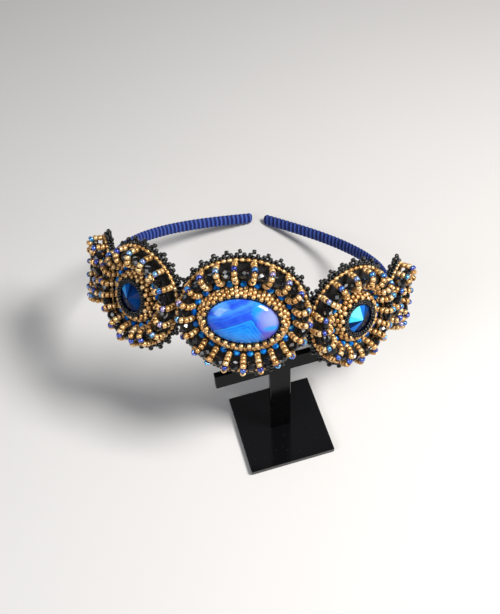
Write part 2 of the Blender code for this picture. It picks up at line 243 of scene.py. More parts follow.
@dataclass
class BandCurve:
    """The band's curve in space, and the places measured from it."""

    half_length: float = 205.0
    bends: tuple = ((0.00, 89.0), (0.25, 52.0), (0.50, 67.0), (0.75, 109.0), (1.00, 2500.0))
    front: tuple = (-13.9, 8.6, 82.0)
    side_lean: float = math.radians(5.5)
    end_clearance: float = 2.9
    face_level: float = 5.0
    thickness: float = 3.0
    gap: float = 0.3
    backing_thickness: float = 2.0
    reach: float = 30.0
    reach_samples: int = 121
    samples: int = 800
    arc: np.ndarray = field(init=False)
    angle: np.ndarray = field(init=False)
    x: np.ndarray = field(init=False)
    y: np.ndarray = field(init=False)
    tilt: np.ndarray = field(init=False)

    def __post_init__(self) -> None:
        """Add up the bends into angles, and the angles into places."""
        self.arc = np.linspace(0.0, self.half_length, self.samples)
        shares, radii = np.array(self.bends).T
        bend = np.interp(self.arc / self.half_length, shares, 1.0 / radii)
        step = self.arc[1]
        self.angle = running_sum(bend, step)
        self.x = running_sum(np.cos(self.angle), step)
        self.y = running_sum(np.sin(self.angle), step)
        pitch = math.asin((self.front[2] - self.end_clearance) / self.y[-1])
        lean = Matrix.Rotation(self.side_lean, 3, "Y")
        self.tilt = np.array(Matrix.Rotation(-pitch, 3, "X") @ lean)

    @property
    def inside(self) -> float:
        """Level of the backing's inner face."""
        return self.thickness / 2.0 + self.gap

    @property
    def face(self) -> float:
        """Level of the backing's outer face, which carries the beads."""
        return self.inside + self.backing_thickness

    @property
    def core(self) -> float:
        """Level of the middle of the backing's thickness."""
        return (self.inside + self.face) / 2.0

    def flat_points(self, arc: np.ndarray, up: np.ndarray, out: np.ndarray) -> np.ndarray:
        """Places in the band's own plane: the curve's point plus a step square to it."""
        side = np.where(arc < 0.0, -1.0, 1.0)
        length = np.abs(arc)
        angle = np.interp(length, self.arc, self.angle)
        x = side * (np.interp(length, self.arc, self.x) + out * np.sin(angle))
        y = np.interp(length, self.arc, self.y) - out * np.cos(angle)
        return np.stack(np.broadcast_arrays(x, y, up), axis=-1)

    def in_space(self, points: np.ndarray) -> np.ndarray:
        """Places in the band's plane, moved to where the band lies."""
        return np.array(self.front) + points @ self.tilt.T

    def arc_of(self, along: np.ndarray) -> np.ndarray:
        """Arc length on the band of a place measured on the face level."""
        along = np.asarray(along, dtype=float)
        measured = self.arc + self.face_level * self.angle
        return np.sign(along) * np.interp(np.abs(along), measured, self.arc)

    def place(self, along: np.ndarray, up: np.ndarray, out: np.ndarray) -> np.ndarray:
        """Places in space from (along, up, out)."""
        return self.in_space(self.flat_points(self.arc_of(along), up, out))

    def outwards(self, along: np.ndarray) -> np.ndarray:
        """Direction away from the head at places along the band."""
        arc = self.arc_of(along)
        return (self.flat_points(arc, 0.0, 1.0) - self.flat_points(arc, 0.0, 0.0)) @ self.tilt.T

    def flat_axes(self, along: float) -> tuple:
        """Point on the band, direction along it and direction outwards, in its plane."""
        arc = self.arc_of(along)
        origin = self.flat_points(arc, 0.0, 0.0)
        outwards = self.flat_points(arc, 0.0, 1.0) - origin
        return origin, np.array((-outwards[1], outwards[0], 0.0)), outwards

    def place_rigid(self, along: float, across: np.ndarray, up: np.ndarray,
                    out: np.ndarray) -> np.ndarray:
        """Places beside one point of the band, on straight axes."""
        origin, sideways, outwards = self.flat_axes(along)
        across, up, out = np.broadcast_arrays(across, up, out)
        flat = origin + across[..., None] * sideways + out[..., None] * outwards
        flat[..., 2] = up
        return self.in_space(flat)

    def fall_away(self, along: float, across: np.ndarray) -> np.ndarray:
        """How far the backing's outer face drops below straight axes."""
        origin, sideways, outwards = self.flat_axes(along)
        reach = np.linspace(-self.reach, self.reach, self.reach_samples)
        sheet = self.flat_points(self.arc_of(along) + reach, 0.0, self.face) - origin
        order = np.argsort(sheet @ sideways)
        drops = self.face - (sheet @ outwards)[order]
        return np.interp(across, (sheet @ sideways)[order], drops)


class Value:
    """A number that varies over a surface, with arithmetic that adds Math nodes."""

    def __init__(self, graph: "Graph", socket: bpy.types.NodeSocket) -> None:
        """Wrap an output socket of a graph."""
        self.graph = graph
        self.socket = socket

    def _math(self, operation: str, *given: object, use_clamp: bool = False) -> "Value":
        """One Math node."""
        settings = {"operation": operation, "use_clamp": use_clamp}
        return self.graph.node("ShaderNodeMath", settings, dict(enumerate(given)))

    def __add__(self, other: object) -> "Value":
        """Sum."""
        return self._math("ADD", self, other)

    __radd__ = __add__

    def __sub__(self, other: object) -> "Value":
        """Difference."""
        return self._math("SUBTRACT", self, other)

    def __rsub__(self, other: object) -> "Value":
        """Difference from a number."""
        return self._math("SUBTRACT", other, self)

    def __mul__(self, other: object) -> "Value":
        """Product."""
        return self._math("MULTIPLY", self, other)

    __rmul__ = __mul__

    def larger(self, other: object) -> "Value":
        """The larger of two."""
        return self._math("MAXIMUM", self, other)

    def sine(self) -> "Value":
        """Sine of the value in radians."""
        return self._math("SINE", self)

    def clamp(self) -> "Value":
        """The value held between 0 and 1."""
        return self._math("ADD", self, 0.0, use_clamp=True)


class Graph:
    """The nodes of one material."""

    def __init__(self, name: str) -> None:
        """Start a material with its Principled shader."""
        self.material = bpy.data.materials.new(name)
        self.material.use_nodes = True
        self.tree = self.material.node_tree
        self.shader = self.tree.nodes["Principled BSDF"]

    def node(self, kind: str, settings: dict, inputs: dict, output: object = 0) -> Value:
        """Add a node.

        Args:
            kind: the node's type name.
            settings: its properties; "stops" are a colour ramp's (place, colour) rows.
            inputs: values or links of its sockets, by name or number.
            output: the output that is used, by name or number.

        Returns:
            The output as a value.
        """
        item = self.tree.nodes.new(kind)
        for key, setting in settings.items():
            if key == "stops":
                self._set_stops(item.color_ramp, setting)
            else:
                setattr(item, key, setting)
        for key, given in inputs.items():
            self.feed(self._socket(item.inputs, key), given)
        return Value(self, self._socket(item.outputs, output))

    @staticmethod
    def _socket(sockets: object, key: object) -> bpy.types.NodeSocket:
        """A socket by number, by identifier or by name."""
        if isinstance(key, int):
            return sockets[key]
        exact = [socket for socket in sockets if socket.identifier == key]
        return exact[0] if exact else sockets[key]

    @staticmethod
    def _set_stops(ramp: bpy.types.ColorRamp, stops: tuple) -> None:
        """Give a colour ramp its stops."""
        while len(ramp.elements) < len(stops):
            ramp.elements.new(0.5)
        for element, (place, colour) in zip(ramp.elements, stops):
            element.position = place
            element.color = (*colour, 1.0)

    def feed(self, socket: bpy.types.NodeSocket, given: object) -> None:
        """Link a value to an input socket, or set its number."""
        if isinstance(given, Value):
            self.tree.links.new(given.socket, socket)
        elif isinstance(given, tuple) and len(given) == 3 and len(socket.default_value) == 4:
            socket.default_value = (*given, 1.0)
        else:
            socket.default_value = given

    def set(self, **sockets: object) -> bpy.types.Material:
        """Set or link the shader's own sockets, with underscores for spaces."""
        for key, given in sockets.items():
            self.feed(self.shader.inputs[key.replace("_", " ")], given)
        return self.material

    def place(self) -> Value:
        """Object coordinates, in metres."""
        return self.node("ShaderNodeTexCoord", {}, {}, "Object")

    def tone(self) -> Value:
        """The tone held at the mesh's points."""
        return self.node("ShaderNodeAttribute", {"attribute_name": "tone"}, {}, "Fac")

    def flat_map(self) -> Value:
        """The mesh's own flat map."""
        return self.node("ShaderNodeUVMap", {"uv_map": "flat_map"}, {}, "UV")

    def part(self, vector: Value, axis: str) -> Value:
        """One coordinate of a vector."""
        return self.node("ShaderNodeSeparateXYZ", {}, {"Vector": vector}, axis)

    def cells(self, scale: float, feature: str, place: Value) -> Value:
        """Distances in a pattern of cells, with a number of cells to the metre."""
        inputs = {"Vector": place, "Scale": scale}
        return self.node("ShaderNodeTexVoronoi", {"feature": feature}, inputs, "Distance")

    def noise(self, scale: float, detail: float = 3.0, place: Value | None = None) -> Value:
        """Cloudy noise between 0 and 1, with a number of spots to the metre."""
        inputs = {"Vector": place or self.place(), "Scale": scale, "Detail": detail}
        return self.node("ShaderNodeTexNoise", {}, inputs, "Fac")

    def ramp(self, value: Value, stops: tuple) -> Value:
        """Colours along a value."""
        return self.node("ShaderNodeValToRGB", {"stops": stops}, {"Fac": value}, "Color")

    def blend(self, factor: object, first: object, second: object) -> Value:
        """One colour turning into another."""
        inputs = {"Factor_Float": factor, "A_Color": first, "B_Color": second}
        return self.node("ShaderNodeMix", {"data_type": "RGBA"}, inputs, "Result_Color")

    def bump(self, height: Value, distance: float, strength: float = 1.0) -> Value:
        """Normals of a relief of some depth in metres."""
        inputs = {"Height": height, "Distance": distance, "Strength": strength}
        return self.node("ShaderNodeBump", {}, inputs, "Normal")


@dataclass(frozen=True)
class GoldBeads:
    """Gold-plated glass beads, each a little paler or browner than the next."""

    name: str = "gold_bead_finish"
    # The darkest stop is painted shade at the wall of each bead's hole; brown is partly each
    # bead's own tone and partly painted shade near the hole.
    painted_hole_shade_colour: tuple = (0.090, 0.035, 0.010)
    brown: tuple = (0.50, 0.250, 0.080)
    gold: tuple = (0.80, 0.480, 0.190)
    pale: tuple = (0.93, 0.710, 0.410)
    roughness: float = 0.25
    metallic: float = 0.62
    wear_scale: float = 900.0
    wear_weight: float = 0.30
    dulling: float = 0.16
    relief_scale: float = 2600.0
    relief_depth: float = 0.00003

    def make(self) -> bpy.types.Material:
        """Colour from each bead's tone, clouded by wear of the plating; the ramp's low end,
        reached near each hole, is painted shade.
        """
        graph = Graph(self.name)
        wear = graph.noise(self.wear_scale, 4.0)
        tone = graph.tone() + (wear - 0.5) * self.wear_weight
        colour = graph.ramp(tone.clamp(), ((0.0, self.painted_hole_shade_colour), (0.22, self.brown),
                                           (0.58, self.gold), (1.0, self.pale)))
        relief = graph.bump(graph.noise(self.relief_scale), self.relief_depth)
        return graph.set(Base_Color=colour, Metallic=self.metallic, Normal=relief,
                         Roughness=wear * self.dulling + (self.roughness - self.dulling / 2.0))


@dataclass(frozen=True)
class IrisBeads:
    """Blue beads with an iridescent skin: violet, sky blue, turquoise and pink."""

    name: str = "iris_bead_finish"
    stops: tuple = (
        (0.00, (0.020, 0.040, 0.300)),
        (0.22, (0.070, 0.105, 0.540)),
        (0.42, (0.050, 0.180, 0.560)),
        (0.58, (0.080, 0.400, 0.640)),
        (0.72, (0.240, 0.420, 0.720)),
        (0.86, (0.260, 0.230, 0.620)),
        (1.00, (0.560, 0.420, 0.640)),
    )
    drift_scale: float = 620.0
    drift_weight: float = 0.9

    def make(self) -> bpy.types.Material:
        """Colour drifts over each bead as thin film does."""
        graph = Graph(self.name)
        drift = (graph.noise(self.drift_scale, 1.0) - 0.5) * self.drift_weight
        # Near each hole the tone drops towards the darkest stop: painted shade in the hole.
        colour = graph.ramp((graph.tone() + drift).clamp(), self.stops)
        return graph.set(Base_Color=colour, Metallic=0.60, Roughness=0.11, Coat_Weight=0.8,
                         Coat_Roughness=0.04)


@dataclass(frozen=True)
class DarkGlass:
    """Polished opaque glass, for round and for cut beads."""

    name: str
    stops: tuple
    shine: float
    roughness: float = 0.07
    dull_scale: float = 1400.0
    dulling: float = 0.10

    def make(self) -> bpy.types.Material:
        """Colour from each bead's or facet's tone, and a few dull patches."""
        graph = Graph(self.name)
        dull = graph.noise(self.dull_scale, 2.0)
        # For the cut beads the ramp's top stops are painted reflections on a few facets.
        colour = graph.ramp(graph.tone(), self.stops)
        return graph.set(Base_Color=colour, Specular_IOR_Level=self.shine,
                         Roughness=dull * self.dulling + (self.roughness - self.dulling / 2.0))


@dataclass(frozen=True)
class CutBlue:
    """Foiled blue crystal: each facet's colour holds painted light and shade, the reflections
    that the foil sends back.
    """

    name: str
    stops: tuple
    metallic: float = 0.10
    roughness: float = 0.14
    shine: float = 0.06
    cloud_scale: float = 240.0
    cloud_weight: float = 0.10

    def make(self) -> bpy.types.Material:
        """Colour from each facet's tone, faintly clouded."""
        graph = Graph(self.name)
        cloud = (graph.noise(self.cloud_scale, 2.0) - 0.5) * self.cloud_weight
        colour = graph.ramp((graph.tone() + cloud).clamp(), self.stops)
        return graph.set(Base_Color=colour, Metallic=self.metallic, Roughness=self.roughness,
                         Specular_IOR_Level=self.shine)


@dataclass(frozen=True)
class BandedAgate:
    """Dyed blue agate: slanting bands that bend down in a chevron, and a pale cloud.

    The bands follow the larger of two slanting distances from the chevron's tip, so
    they run one way to its left and the other way to its right.
    """

    name: str = "banded_agate_finish"
    tip: tuple = (0.22, 0.22)
    left_limb: tuple = (0.811, 0.72)
    right_limb: tuple = (0.466, 1.90)
    lowest_band: float = -0.25
    highest_band: float = 1.15
    bands: tuple = (
        (-0.25, (0.007, 0.258, 0.809)),
        (-0.10, (0.005, 0.215, 0.809)),
        (-0.02, (0.010, 0.275, 0.818)),
        (0.00, (0.009, 0.043, 0.418)),
        (0.04, (0.015, 0.073, 0.661)),
        (0.14, (0.012, 0.056, 0.609)),
        (0.28, (0.017, 0.077, 0.679)),
        (0.34, (0.021, 0.163, 0.766)),
        (0.40, (0.019, 0.077, 0.679)),
        (0.45, (0.043, 0.224, 0.809)),
        (0.56, (0.038, 0.206, 0.800)),
        (0.61, (0.017, 0.077, 0.661)),
        (0.70, (0.010, 0.052, 0.522)),
        (0.78, (0.017, 0.138, 0.739)),
        (0.92, (0.025, 0.224, 0.800)),
        (1.15, (0.017, 0.172, 0.766)),
    )
    wobble_scale: float = 2.2
    wobble_size: float = 0.14
    fine_scale: float = 11.0
    fine_size: float = 0.04
    streak_scale: float = 4.0
    streak_gain: float = 2.4
    streak_floor: float = 0.7
    stripe: tuple = (0.010, 0.040, 0.520)
    stripe_rate: float = 58.0
    stripe_weight: float = 0.75
    vein: tuple = (0.075, 0.340, 0.860)
    vein_rate: float = 131.0
    vein_weight: float = 0.60
    vein_waver: float = 40.0
    vein_floor: float = 0.35
    vein_gain: float = 1.6
    violet: tuple = (0.050, 0.085, 0.680)
    violet_weight: float = 0.8
    violet_left: float = 0.34
    violet_depth: float = 0.36
    violet_slopes: tuple = (5.0, 4.0)
    cloud_wobble: float = 2.2
    cloud_waver: float = 5.0
    clouds: tuple = (
        ((0.35, 0.62), (0.17, 0.56), (0.015, 0.270, 0.780), 0.9),
        ((0.76, 0.26), (0.46, 0.62), (0.235, 0.290, 0.580), 1.05),
        ((0.86, -0.17), (0.32, 0.20), (0.015, 0.270, 0.780), 1.2),
        ((0.80, -0.48), (0.38, 0.34), (0.100, 0.075, 0.420), 1.1),
        ((-0.66, 0.52), (0.34, 0.30), (0.160, 0.480, 0.900), 0.5),
    )
    rim: tuple = (0.022, 0.015, 0.230)
    rim_start: float = 0.79
    rim_slope: float = 4.8
    rim_lean: tuple = (0.35, 0.2)
    shine: float = 0.4
    roughness: float = 0.11

    @staticmethod
    def patch(across: Value, up: Value, middle: tuple, size: tuple) -> Value:
        """How far a place lies inside a soft-edged oval, from 0 to 1.

        Args:
            across: place across the stone, in half widths.
            up: place up the stone, in half heights.
            middle: the oval's middle.
            size: its half axes.

        Returns:
            One less the square of the distance in half axes, clamped.
        """
        sideways = (across - middle[0]) * (1.0 / size[0])
        upwards = (up - middle[1]) * (1.0 / size[1])
        return (1.0 - (sideways * sideways + upwards * upwards)).clamp()

    def band_number(self, across: Value, up: Value) -> Value:
        """Distance above the chevron, which counts the bands."""
        from_tip, above_tip = across - self.tip[0], up - self.tip[1]
        left = (above_tip - from_tip * self.left_limb[1]) * self.left_limb[0]
        right = (above_tip + from_tip * self.right_limb[1]) * self.right_limb[0]
        return left.larger(right)

    def banded(self, graph: Graph, number: Value, fine: Value, place: Value) -> Value:
        """Colours of the bands, with dark stripes and pale veins that run along them.

        Args:
            graph: the stone's nodes.
            number: distance above the chevron.
            fine: the fine noise, which makes the veins waver.
            place: flat place on the stone.

        Returns:
            The ramp of band colours, darkened by one sine of the number and lightened
            by a quicker one. A streaky noise sets where each of them shows.
        """
        spread = self.highest_band - self.lowest_band
        share = (number - self.lowest_band) * (1.0 / spread)
        stops = tuple(((level - self.lowest_band) / spread, tint) for level, tint in self.bands)
        colour = graph.ramp(share.clamp(), stops)
        streak = graph.noise(self.streak_scale, 3.0, place) * self.streak_gain
        streak = streak - self.streak_floor
        stripes = ((number * self.stripe_rate).sine() * 0.5 + 0.5) * streak
        colour = graph.blend(stripes.clamp() * self.stripe_weight, colour, self.stripe)
        wave = (number * self.vein_rate + fine * self.vein_waver).sine() - self.vein_floor
        veins = wave * (1.0 - streak) * self.vein_gain
        return graph.blend(veins.clamp() * self.vein_weight, colour, self.vein)

    def make(self) -> bpy.types.Material:
        """Bands and their veins first, then the clouds and the dark rim over them.

        Two noises bend the bands: a slow wobble, and a fine one of a few hundredths.
        """
        graph = Graph(self.name)
        place = graph.flat_map()
        across, up = graph.part(place, "X"), graph.part(place, "Y")
        wobble = (graph.noise(self.wobble_scale, 3.0, place) - 0.5) * self.wobble_size
        fine = (graph.noise(self.fine_scale, 4.0, place) - 0.5) * self.fine_size
        number = self.band_number(across, up) + wobble + fine
        colour = self.banded(graph, number, fine, place)
        right = ((across - self.violet_left + wobble) * self.violet_slopes[0]).clamp()
        upper = ((up + self.violet_depth) * self.violet_slopes[1]).clamp()
        colour = graph.blend(right * upper * self.violet_weight, colour, self.violet)
        ragged = wobble * self.cloud_wobble + fine * self.cloud_waver
        for middle, size, tint, weight in self.clouds:
            inside = self.patch(across + ragged, up, middle, size)
            colour = graph.blend(inside * weight, colour, tint)
        length = across * across + up * up
        rim = ((length - self.rim_start) * self.rim_slope
               + across * self.rim_lean[0] - up * self.rim_lean[1])
        colour = graph.blend(rim.clamp(), colour, self.rim)
        return graph.set(Base_Color=colour, Roughness=self.roughness,
                         Specular_IOR_Level=self.shine)


@dataclass(frozen=True)
class WrappedCord:
    """Satin cord in dark blue, its fibres running along each turn."""

    name: str = "wrapped_cord_finish"
    # The dark stop is painted shade in the grooves between the turns, and the light stop a
    # painted highlight on their crowns; middle is the cord's own navy.
    dark: tuple = (0.003, 0.006, 0.050)
    middle: tuple = (0.013, 0.026, 0.170)
    light: tuple = (0.066, 0.135, 0.470)
    strands: float = 9.0
    fray_scale: float = 40.0
    fray_weight: float = 5.0
    painted_crest_light_weight: float = 0.74
    strand_weight: float = 0.18
    mottle_scale: float = 160.0
    mottle_weight: float = 0.26
    strand_depth: float = 0.00006

    def make(self) -> bpy.types.Material:
        """Painted highlight on the crown of each turn and painted shade in the grooves, with
        fine strands along it.
        """
        graph = Graph(self.name)
        place = graph.flat_map()
        fray = graph.noise(self.fray_scale, 4.0, place)
        turns = graph.part(place, "X") * (FULL_TURN * self.strands)
        strand = (turns + fray * self.fray_weight).sine() * 0.5 + 0.5
        crown = graph.tone()
        crest = crown * crown
        mottle = (graph.noise(self.mottle_scale) - 0.5) * self.mottle_weight
        # Painted light: the crown of each turn lightens the colour, and the grooves stay dark.
        shade = crest * crest * self.painted_crest_light_weight + strand * self.strand_weight + mottle
        stops = ((0.0, self.dark), (0.45, self.middle), (1.0, self.light))
        colour = graph.ramp(shade.clamp(), stops)
        return graph.set(Base_Color=colour, Roughness=0.6, Specular_IOR_Level=0.2,
                         Normal=graph.bump(strand, self.strand_depth, 0.7))


@dataclass(frozen=True)
class FineLeather:
    """Black leather with a fine grain."""

    name: str = "fine_leather_finish"
    crease: tuple = (0.002, 0.002, 0.002)
    skin: tuple = (0.018, 0.018, 0.018)
    cell_scale: float = 1100.0
    cell_weight: float = 1.1
    fold_scale: float = 260.0
    fold_floor: float = 0.3
    fold_weight: float = 0.9
    relief_depth: float = 0.00018

    def make(self) -> bpy.types.Material:
        """Small cells with creases between them, over slower folds."""
        graph = Graph(self.name)
        cells = graph.cells(self.cell_scale, "DISTANCE_TO_EDGE", graph.place())
        folds = (graph.noise(self.fold_scale, 5.0) - self.fold_floor) * self.fold_weight
        grain = cells * self.cell_weight + folds
        colour = graph.ramp(grain.clamp(), ((0.0, self.crease), (1.0, self.skin)))
        return graph.set(Base_Color=colour, Roughness=grain * 0.2 + 0.55,
                         Normal=graph.bump(grain, self.relief_depth, 0.9))


@dataclass(frozen=True)
class BlackThread:
    """Waxed black thread."""

    name: str = "black_thread_finish"
    dark: tuple = (0.004, 0.004, 0.004)
    worn: tuple = (0.040, 0.040, 0.042)
    fibre_scale: float = 3200.0
    fibre_depth: float = 0.00004

    def make(self) -> bpy.types.Material:
        """Fibres that catch a little light here and there."""
        graph = Graph(self.name)
        fibre = graph.noise(self.fibre_scale, 4.0)
        colour = graph.blend(fibre, self.dark, self.worn)
        return graph.set(Base_Color=colour, Roughness=fibre * 0.3 + 0.4,
                         Normal=graph.bump(fibre, self.fibre_depth))


@dataclass(frozen=True)
class BlackAcrylic:
    """Polished black sheet with a little dust and fine scuffs."""

    name: str
    shine: float
    black: tuple = (0.003, 0.003, 0.0035)
    dust: tuple = (0.08, 0.08, 0.085)
    speck_scale: float = 420.0
    speck_radius: float = 0.13
    speck_slope: float = 9.0
    dust_scale: float = 60.0
    dust_weight: float = 0.5
    cloud_scale: float = 55.0

    def make(self) -> bpy.types.Material:
        """Dust in specks, and a roughness that clouds slowly."""
        graph = Graph(self.name)
        specks = graph.cells(self.speck_scale, "F1", graph.place())
        dust = ((self.speck_radius - specks) * self.speck_slope).clamp()
        dust = dust * graph.noise(self.dust_scale) * self.dust_weight
        cloud = graph.noise(self.cloud_scale, 5.0)
        colour = graph.blend(dust, self.black, self.dust)
        return graph.set(Base_Color=colour, Roughness=cloud * 0.14 + dust * 0.3 + 0.05,
                         Specular_IOR_Level=self.shine)


@dataclass(frozen=True)
class PaleTable:
    """Matt pale floor."""

    name: str = "pale_table_finish"
    colour: tuple = (0.62, 0.61, 0.60)
    mottle: tuple = (0.56, 0.55, 0.54)
    mottle_scale: float = 14.0
    mottle_weight: float = 0.25

    def make(self) -> bpy.types.Material:
        """Even colour with a soft mottling."""
        graph = Graph(self.name)
        mottle = graph.noise(self.mottle_scale, 5.0) * self.mottle_weight
        colour = graph.blend(mottle, self.colour, self.mottle)
        return graph.set(Base_Color=colour, Roughness=0.75)


@dataclass(frozen=True)
class BeadForm:
    """A bead turned round its hole, which runs along the local z axis."""

    radius: float
    length: float
    hole: float
    sides: int = 12
    section: int = 7
    squareness: float = 0.90

    def template(self) -> tuple:
        """Points and faces of one bead.

        The section is an oval whose sine and cosine are raised to a power below one,
        which makes it squarer, and it is carried round the hole.

        Returns:
            Points of shape (n, 3), and a list of face blocks.
        """
        t = around(self.section)
        wall = (self.radius - self.hole) / 2.0
        reach = self.radius - wall + wall * _squared(np.cos(t), self.squareness)
        height = self.length / 2.0 * _squared(np.sin(t), self.squareness)
        turn = around(self.sides)[:, None]
        grid = np.stack(np.broadcast_arrays(
            reach * np.cos(turn), reach * np.sin(turn), height), axis=-1)
        return grid.reshape(-1, 3), [grid_faces(self.sides, self.section, True, True)]


def _squared(values: np.ndarray, power: float) -> np.ndarray:
    """A sine or cosine pushed out towards plus or minus one."""
    return np.sign(values) * np.abs(values) ** power


@dataclass(frozen=True)
class CutForm:
    """A bead cut in flat diamond facets round its waist, with kites towards its ends."""

    radius: float
    half_length: float
    sides: int = 7
    shoulder_share: float = 0.52

    def template(self) -> tuple:
        """Points and faces of one bead, closed by a flat facet at each end.

        Five rings of corners, every other one turned by half a facet. The shoulder
        rings have the waist's radius times the cosine of half a facet, and the end
        rings the radius where the kites' ridges run on straight, so that every
        four-cornered facet is flat.

        Returns:
            Points of shape (n, 3), and blocks of facets with 4, 3 and more corners.
        """
        flatness = math.cos(math.pi / self.sides)
        shoulder = self.half_length * self.shoulder_share
        slope = self.radius * (flatness ** 2 - 1.0) / shoulder
        end_radius = self.radius + slope * self.half_length
        half = 0.5
        rings = (
            (-self.half_length, end_radius, half), (-shoulder, self.radius * flatness, 0.0),
            (0.0, self.radius, half), (shoulder, self.radius * flatness, 0.0),
            (self.half_length, end_radius, half),
        )
        number = np.arange(len(rings) * self.sides).reshape(-1, self.sides)
        points = np.concatenate([self._ring(*ring) for ring in rings])
        low_end, low, waist, high, high_end = number
        ahead, behind = -1, 1
        quads = np.concatenate((
            np.stack((low, waist, high, np.roll(waist, behind)), axis=-1),
            np.stack((waist, np.roll(high, ahead), high_end, high), axis=-1),
            np.stack((low_end, np.roll(low, ahead), waist, low), axis=-1),
        ))
        triangles = np.concatenate((
            np.stack((high, high_end, np.roll(high_end, behind)), axis=-1),
            np.stack((low, np.roll(low_end, behind), low_end), axis=-1),
        ))
        return points, [quads, triangles, np.stack((low_end[::-1], high_end))]

    def _ring(self, height: float, radius: float, shift: float) -> np.ndarray:
        """Corners of one ring, turned by a share of a facet."""
        turn = (np.arange(self.sides) + shift) * FULL_TURN / self.sides
        return np.stack((radius * np.cos(turn), radius * np.sin(turn),
                         np.full(self.sides, height)), axis=-1)


@dataclass
class BeadLine:
    """Places, hole directions and sideways directions of a run of beads."""

    centres: np.ndarray
    axes: np.ndarray
    sides: np.ndarray

    @staticmethod
    def joined(lines: list) -> "BeadLine":
        """Several runs as one."""
        return BeadLine(*(np.concatenate([getattr(line, key) for line in lines])
                          for key in ("centres", "axes", "sides")))

    def picked(self, chosen: np.ndarray) -> "BeadLine":
        """The beads that a mask or a list of numbers picks."""
        return BeadLine(self.centres[chosen], self.axes[chosen], self.sides[chosen])


@dataclass
class BeadBox:
    """Turns runs of beads into surfaces, with the small unevenness of handwork."""

    rng: np.random.Generator
    size_spread: float = 0.035
    turn_spread: float = 0.10
    # Painted shade in each bead's hole: how far the tone drops, and where the drop starts and
    # how wide it is, in shares of the radius.
    painted_hole_shade: float = 0.85
    painted_hole_shade_start: float = 0.78
    painted_hole_shade_span: float = 0.36

    def surface(self, form: object, line: BeadLine, tones: tuple = (0.25, 0.85)) -> Surface:
        """Copies of a bead along a run.

        Each copy is the template turned so that its z axis lies along the run,
        swelled or shrunk by a few hundredths and tipped by a few degrees. The tone
        falls from the middle of the bead's end face to the wall of its hole, as painted
        shade in the hole.

        Args:
            form: a BeadForm or a CutForm.
            line: where the beads sit.
            tones: lowest and highest tone.

        Returns:
            One surface with a tone held at every point.
        """
        points, blocks = form.template()
        count = len(line.centres)
        tip = self.rng.normal(0.0, self.turn_spread, (count, 3))
        axis = unit(line.axes + tip)
        side = unit(line.sides - np.einsum("ij,ij->i", line.sides, axis)[:, None] * axis)
        spin = self.rng.uniform(0.0, FULL_TURN, (count, 1))
        third = np.cross(axis, side)
        first = side * np.cos(spin) + third * np.sin(spin)
        second = np.cross(axis, first)
        size = 1.0 + self.rng.normal(0.0, self.size_spread, (count, 1, 1))
        frames = np.stack((first, second, axis), axis=1)
        placed = line.centres[:, None] + points @ frames * size
        offsets = np.arange(count)[:, None, None] * len(points)
        faces = [(block[None] + offsets).reshape(-1, block.shape[1]) for block in blocks]
        reach = np.hypot(points[:, 0], points[:, 1]) / form.radius
        # Painted shade: the tone falls towards the wall of the hole, where shade lies between
        # neighbouring beads.
        depth = np.clip((self.painted_hole_shade_start - reach) / self.painted_hole_shade_span, 0.0, 1.0)
        tone = self.rng.uniform(*tones, (count, 1)) * (1.0 - self.painted_hole_shade * depth)
        return Surface(placed.reshape(-1, 3), faces, tone.ravel())

    def facet_tones(self, surface: Surface, low: float, high: float) -> Surface:
        """Split a faceted surface into loose facets, each with its own tone."""
        points, faces, tones, start = [], [], [], 0
        for block in surface.turned_outwards():
            corners = block.reshape(-1)
            points.append(surface.points[corners])
            faces.append(np.arange(len(corners)).reshape(block.shape) + start)
            tones.append(self.rng.uniform(low, high, len(block)).repeat(block.shape[1]))
            start += len(corners)
        return Surface(np.concatenate(points), faces, np.concatenate(tones))


def thread(path: np.ndarray, radius: float, closed: bool) -> Surface:
    """A thin thread along a path.

    Each ring stands square to the path: its two directions are the cross products of
    the path's direction with a fixed direction, and of those two.

    Args:
        path: points of the middle line.
        radius: radius of the thread.
        closed: whether the path returns to its start.

    Returns:
        The surface, with both ends filled if the path is open.
    """
    if closed:
        along = np.roll(path, -1, axis=0) - np.roll(path, 1, axis=0)
    else:
        along = np.gradient(path, axis=0)
    along = unit(along)
    helper = np.where(np.abs(along[:, 2:]) < NEARLY_UPRIGHT, UP, ACROSS)
    first = unit(np.cross(along, helper))
    second = np.cross(along, first)
    turn = around(THREAD_SIDES)[None, :, None]
    spokes = first[:, None] * np.cos(turn) + second[:, None] * np.sin(turn)
    points = (path[:, None] + radius * spokes).reshape(-1, 3)
    faces = [grid_faces(len(path), THREAD_SIDES, closed, True)]
    if not closed:
        faces.append(end_faces(len(path), THREAD_SIDES))
    return Surface(points, faces, np.full(len(points), THREAD_TONE))


def joined_surfaces(surfaces: list) -> Surface:
    """Several surfaces as one, their faces gathered by the number of corners."""
    offsets = np.cumsum([0] + [len(item.points) for item in surfaces[:-1]])
    gathered: dict = {}
    for item, offset in zip(surfaces, offsets):
        for block in item.turned_outwards():
            gathered.setdefault(block.shape[1], []).append(block + offset)
    faces = [np.concatenate(blocks) for blocks in gathered.values()]
    points = np.concatenate([item.points for item in surfaces])
    return Surface(points, faces, np.concatenate([item.tones for item in surfaces]))


@dataclass(frozen=True)
class BezelRow:
    """One row of beads round a stone."""

    count: int
    offset: float
    height: float
    follows_backing: float = 0.0
    shift: float = 0.0


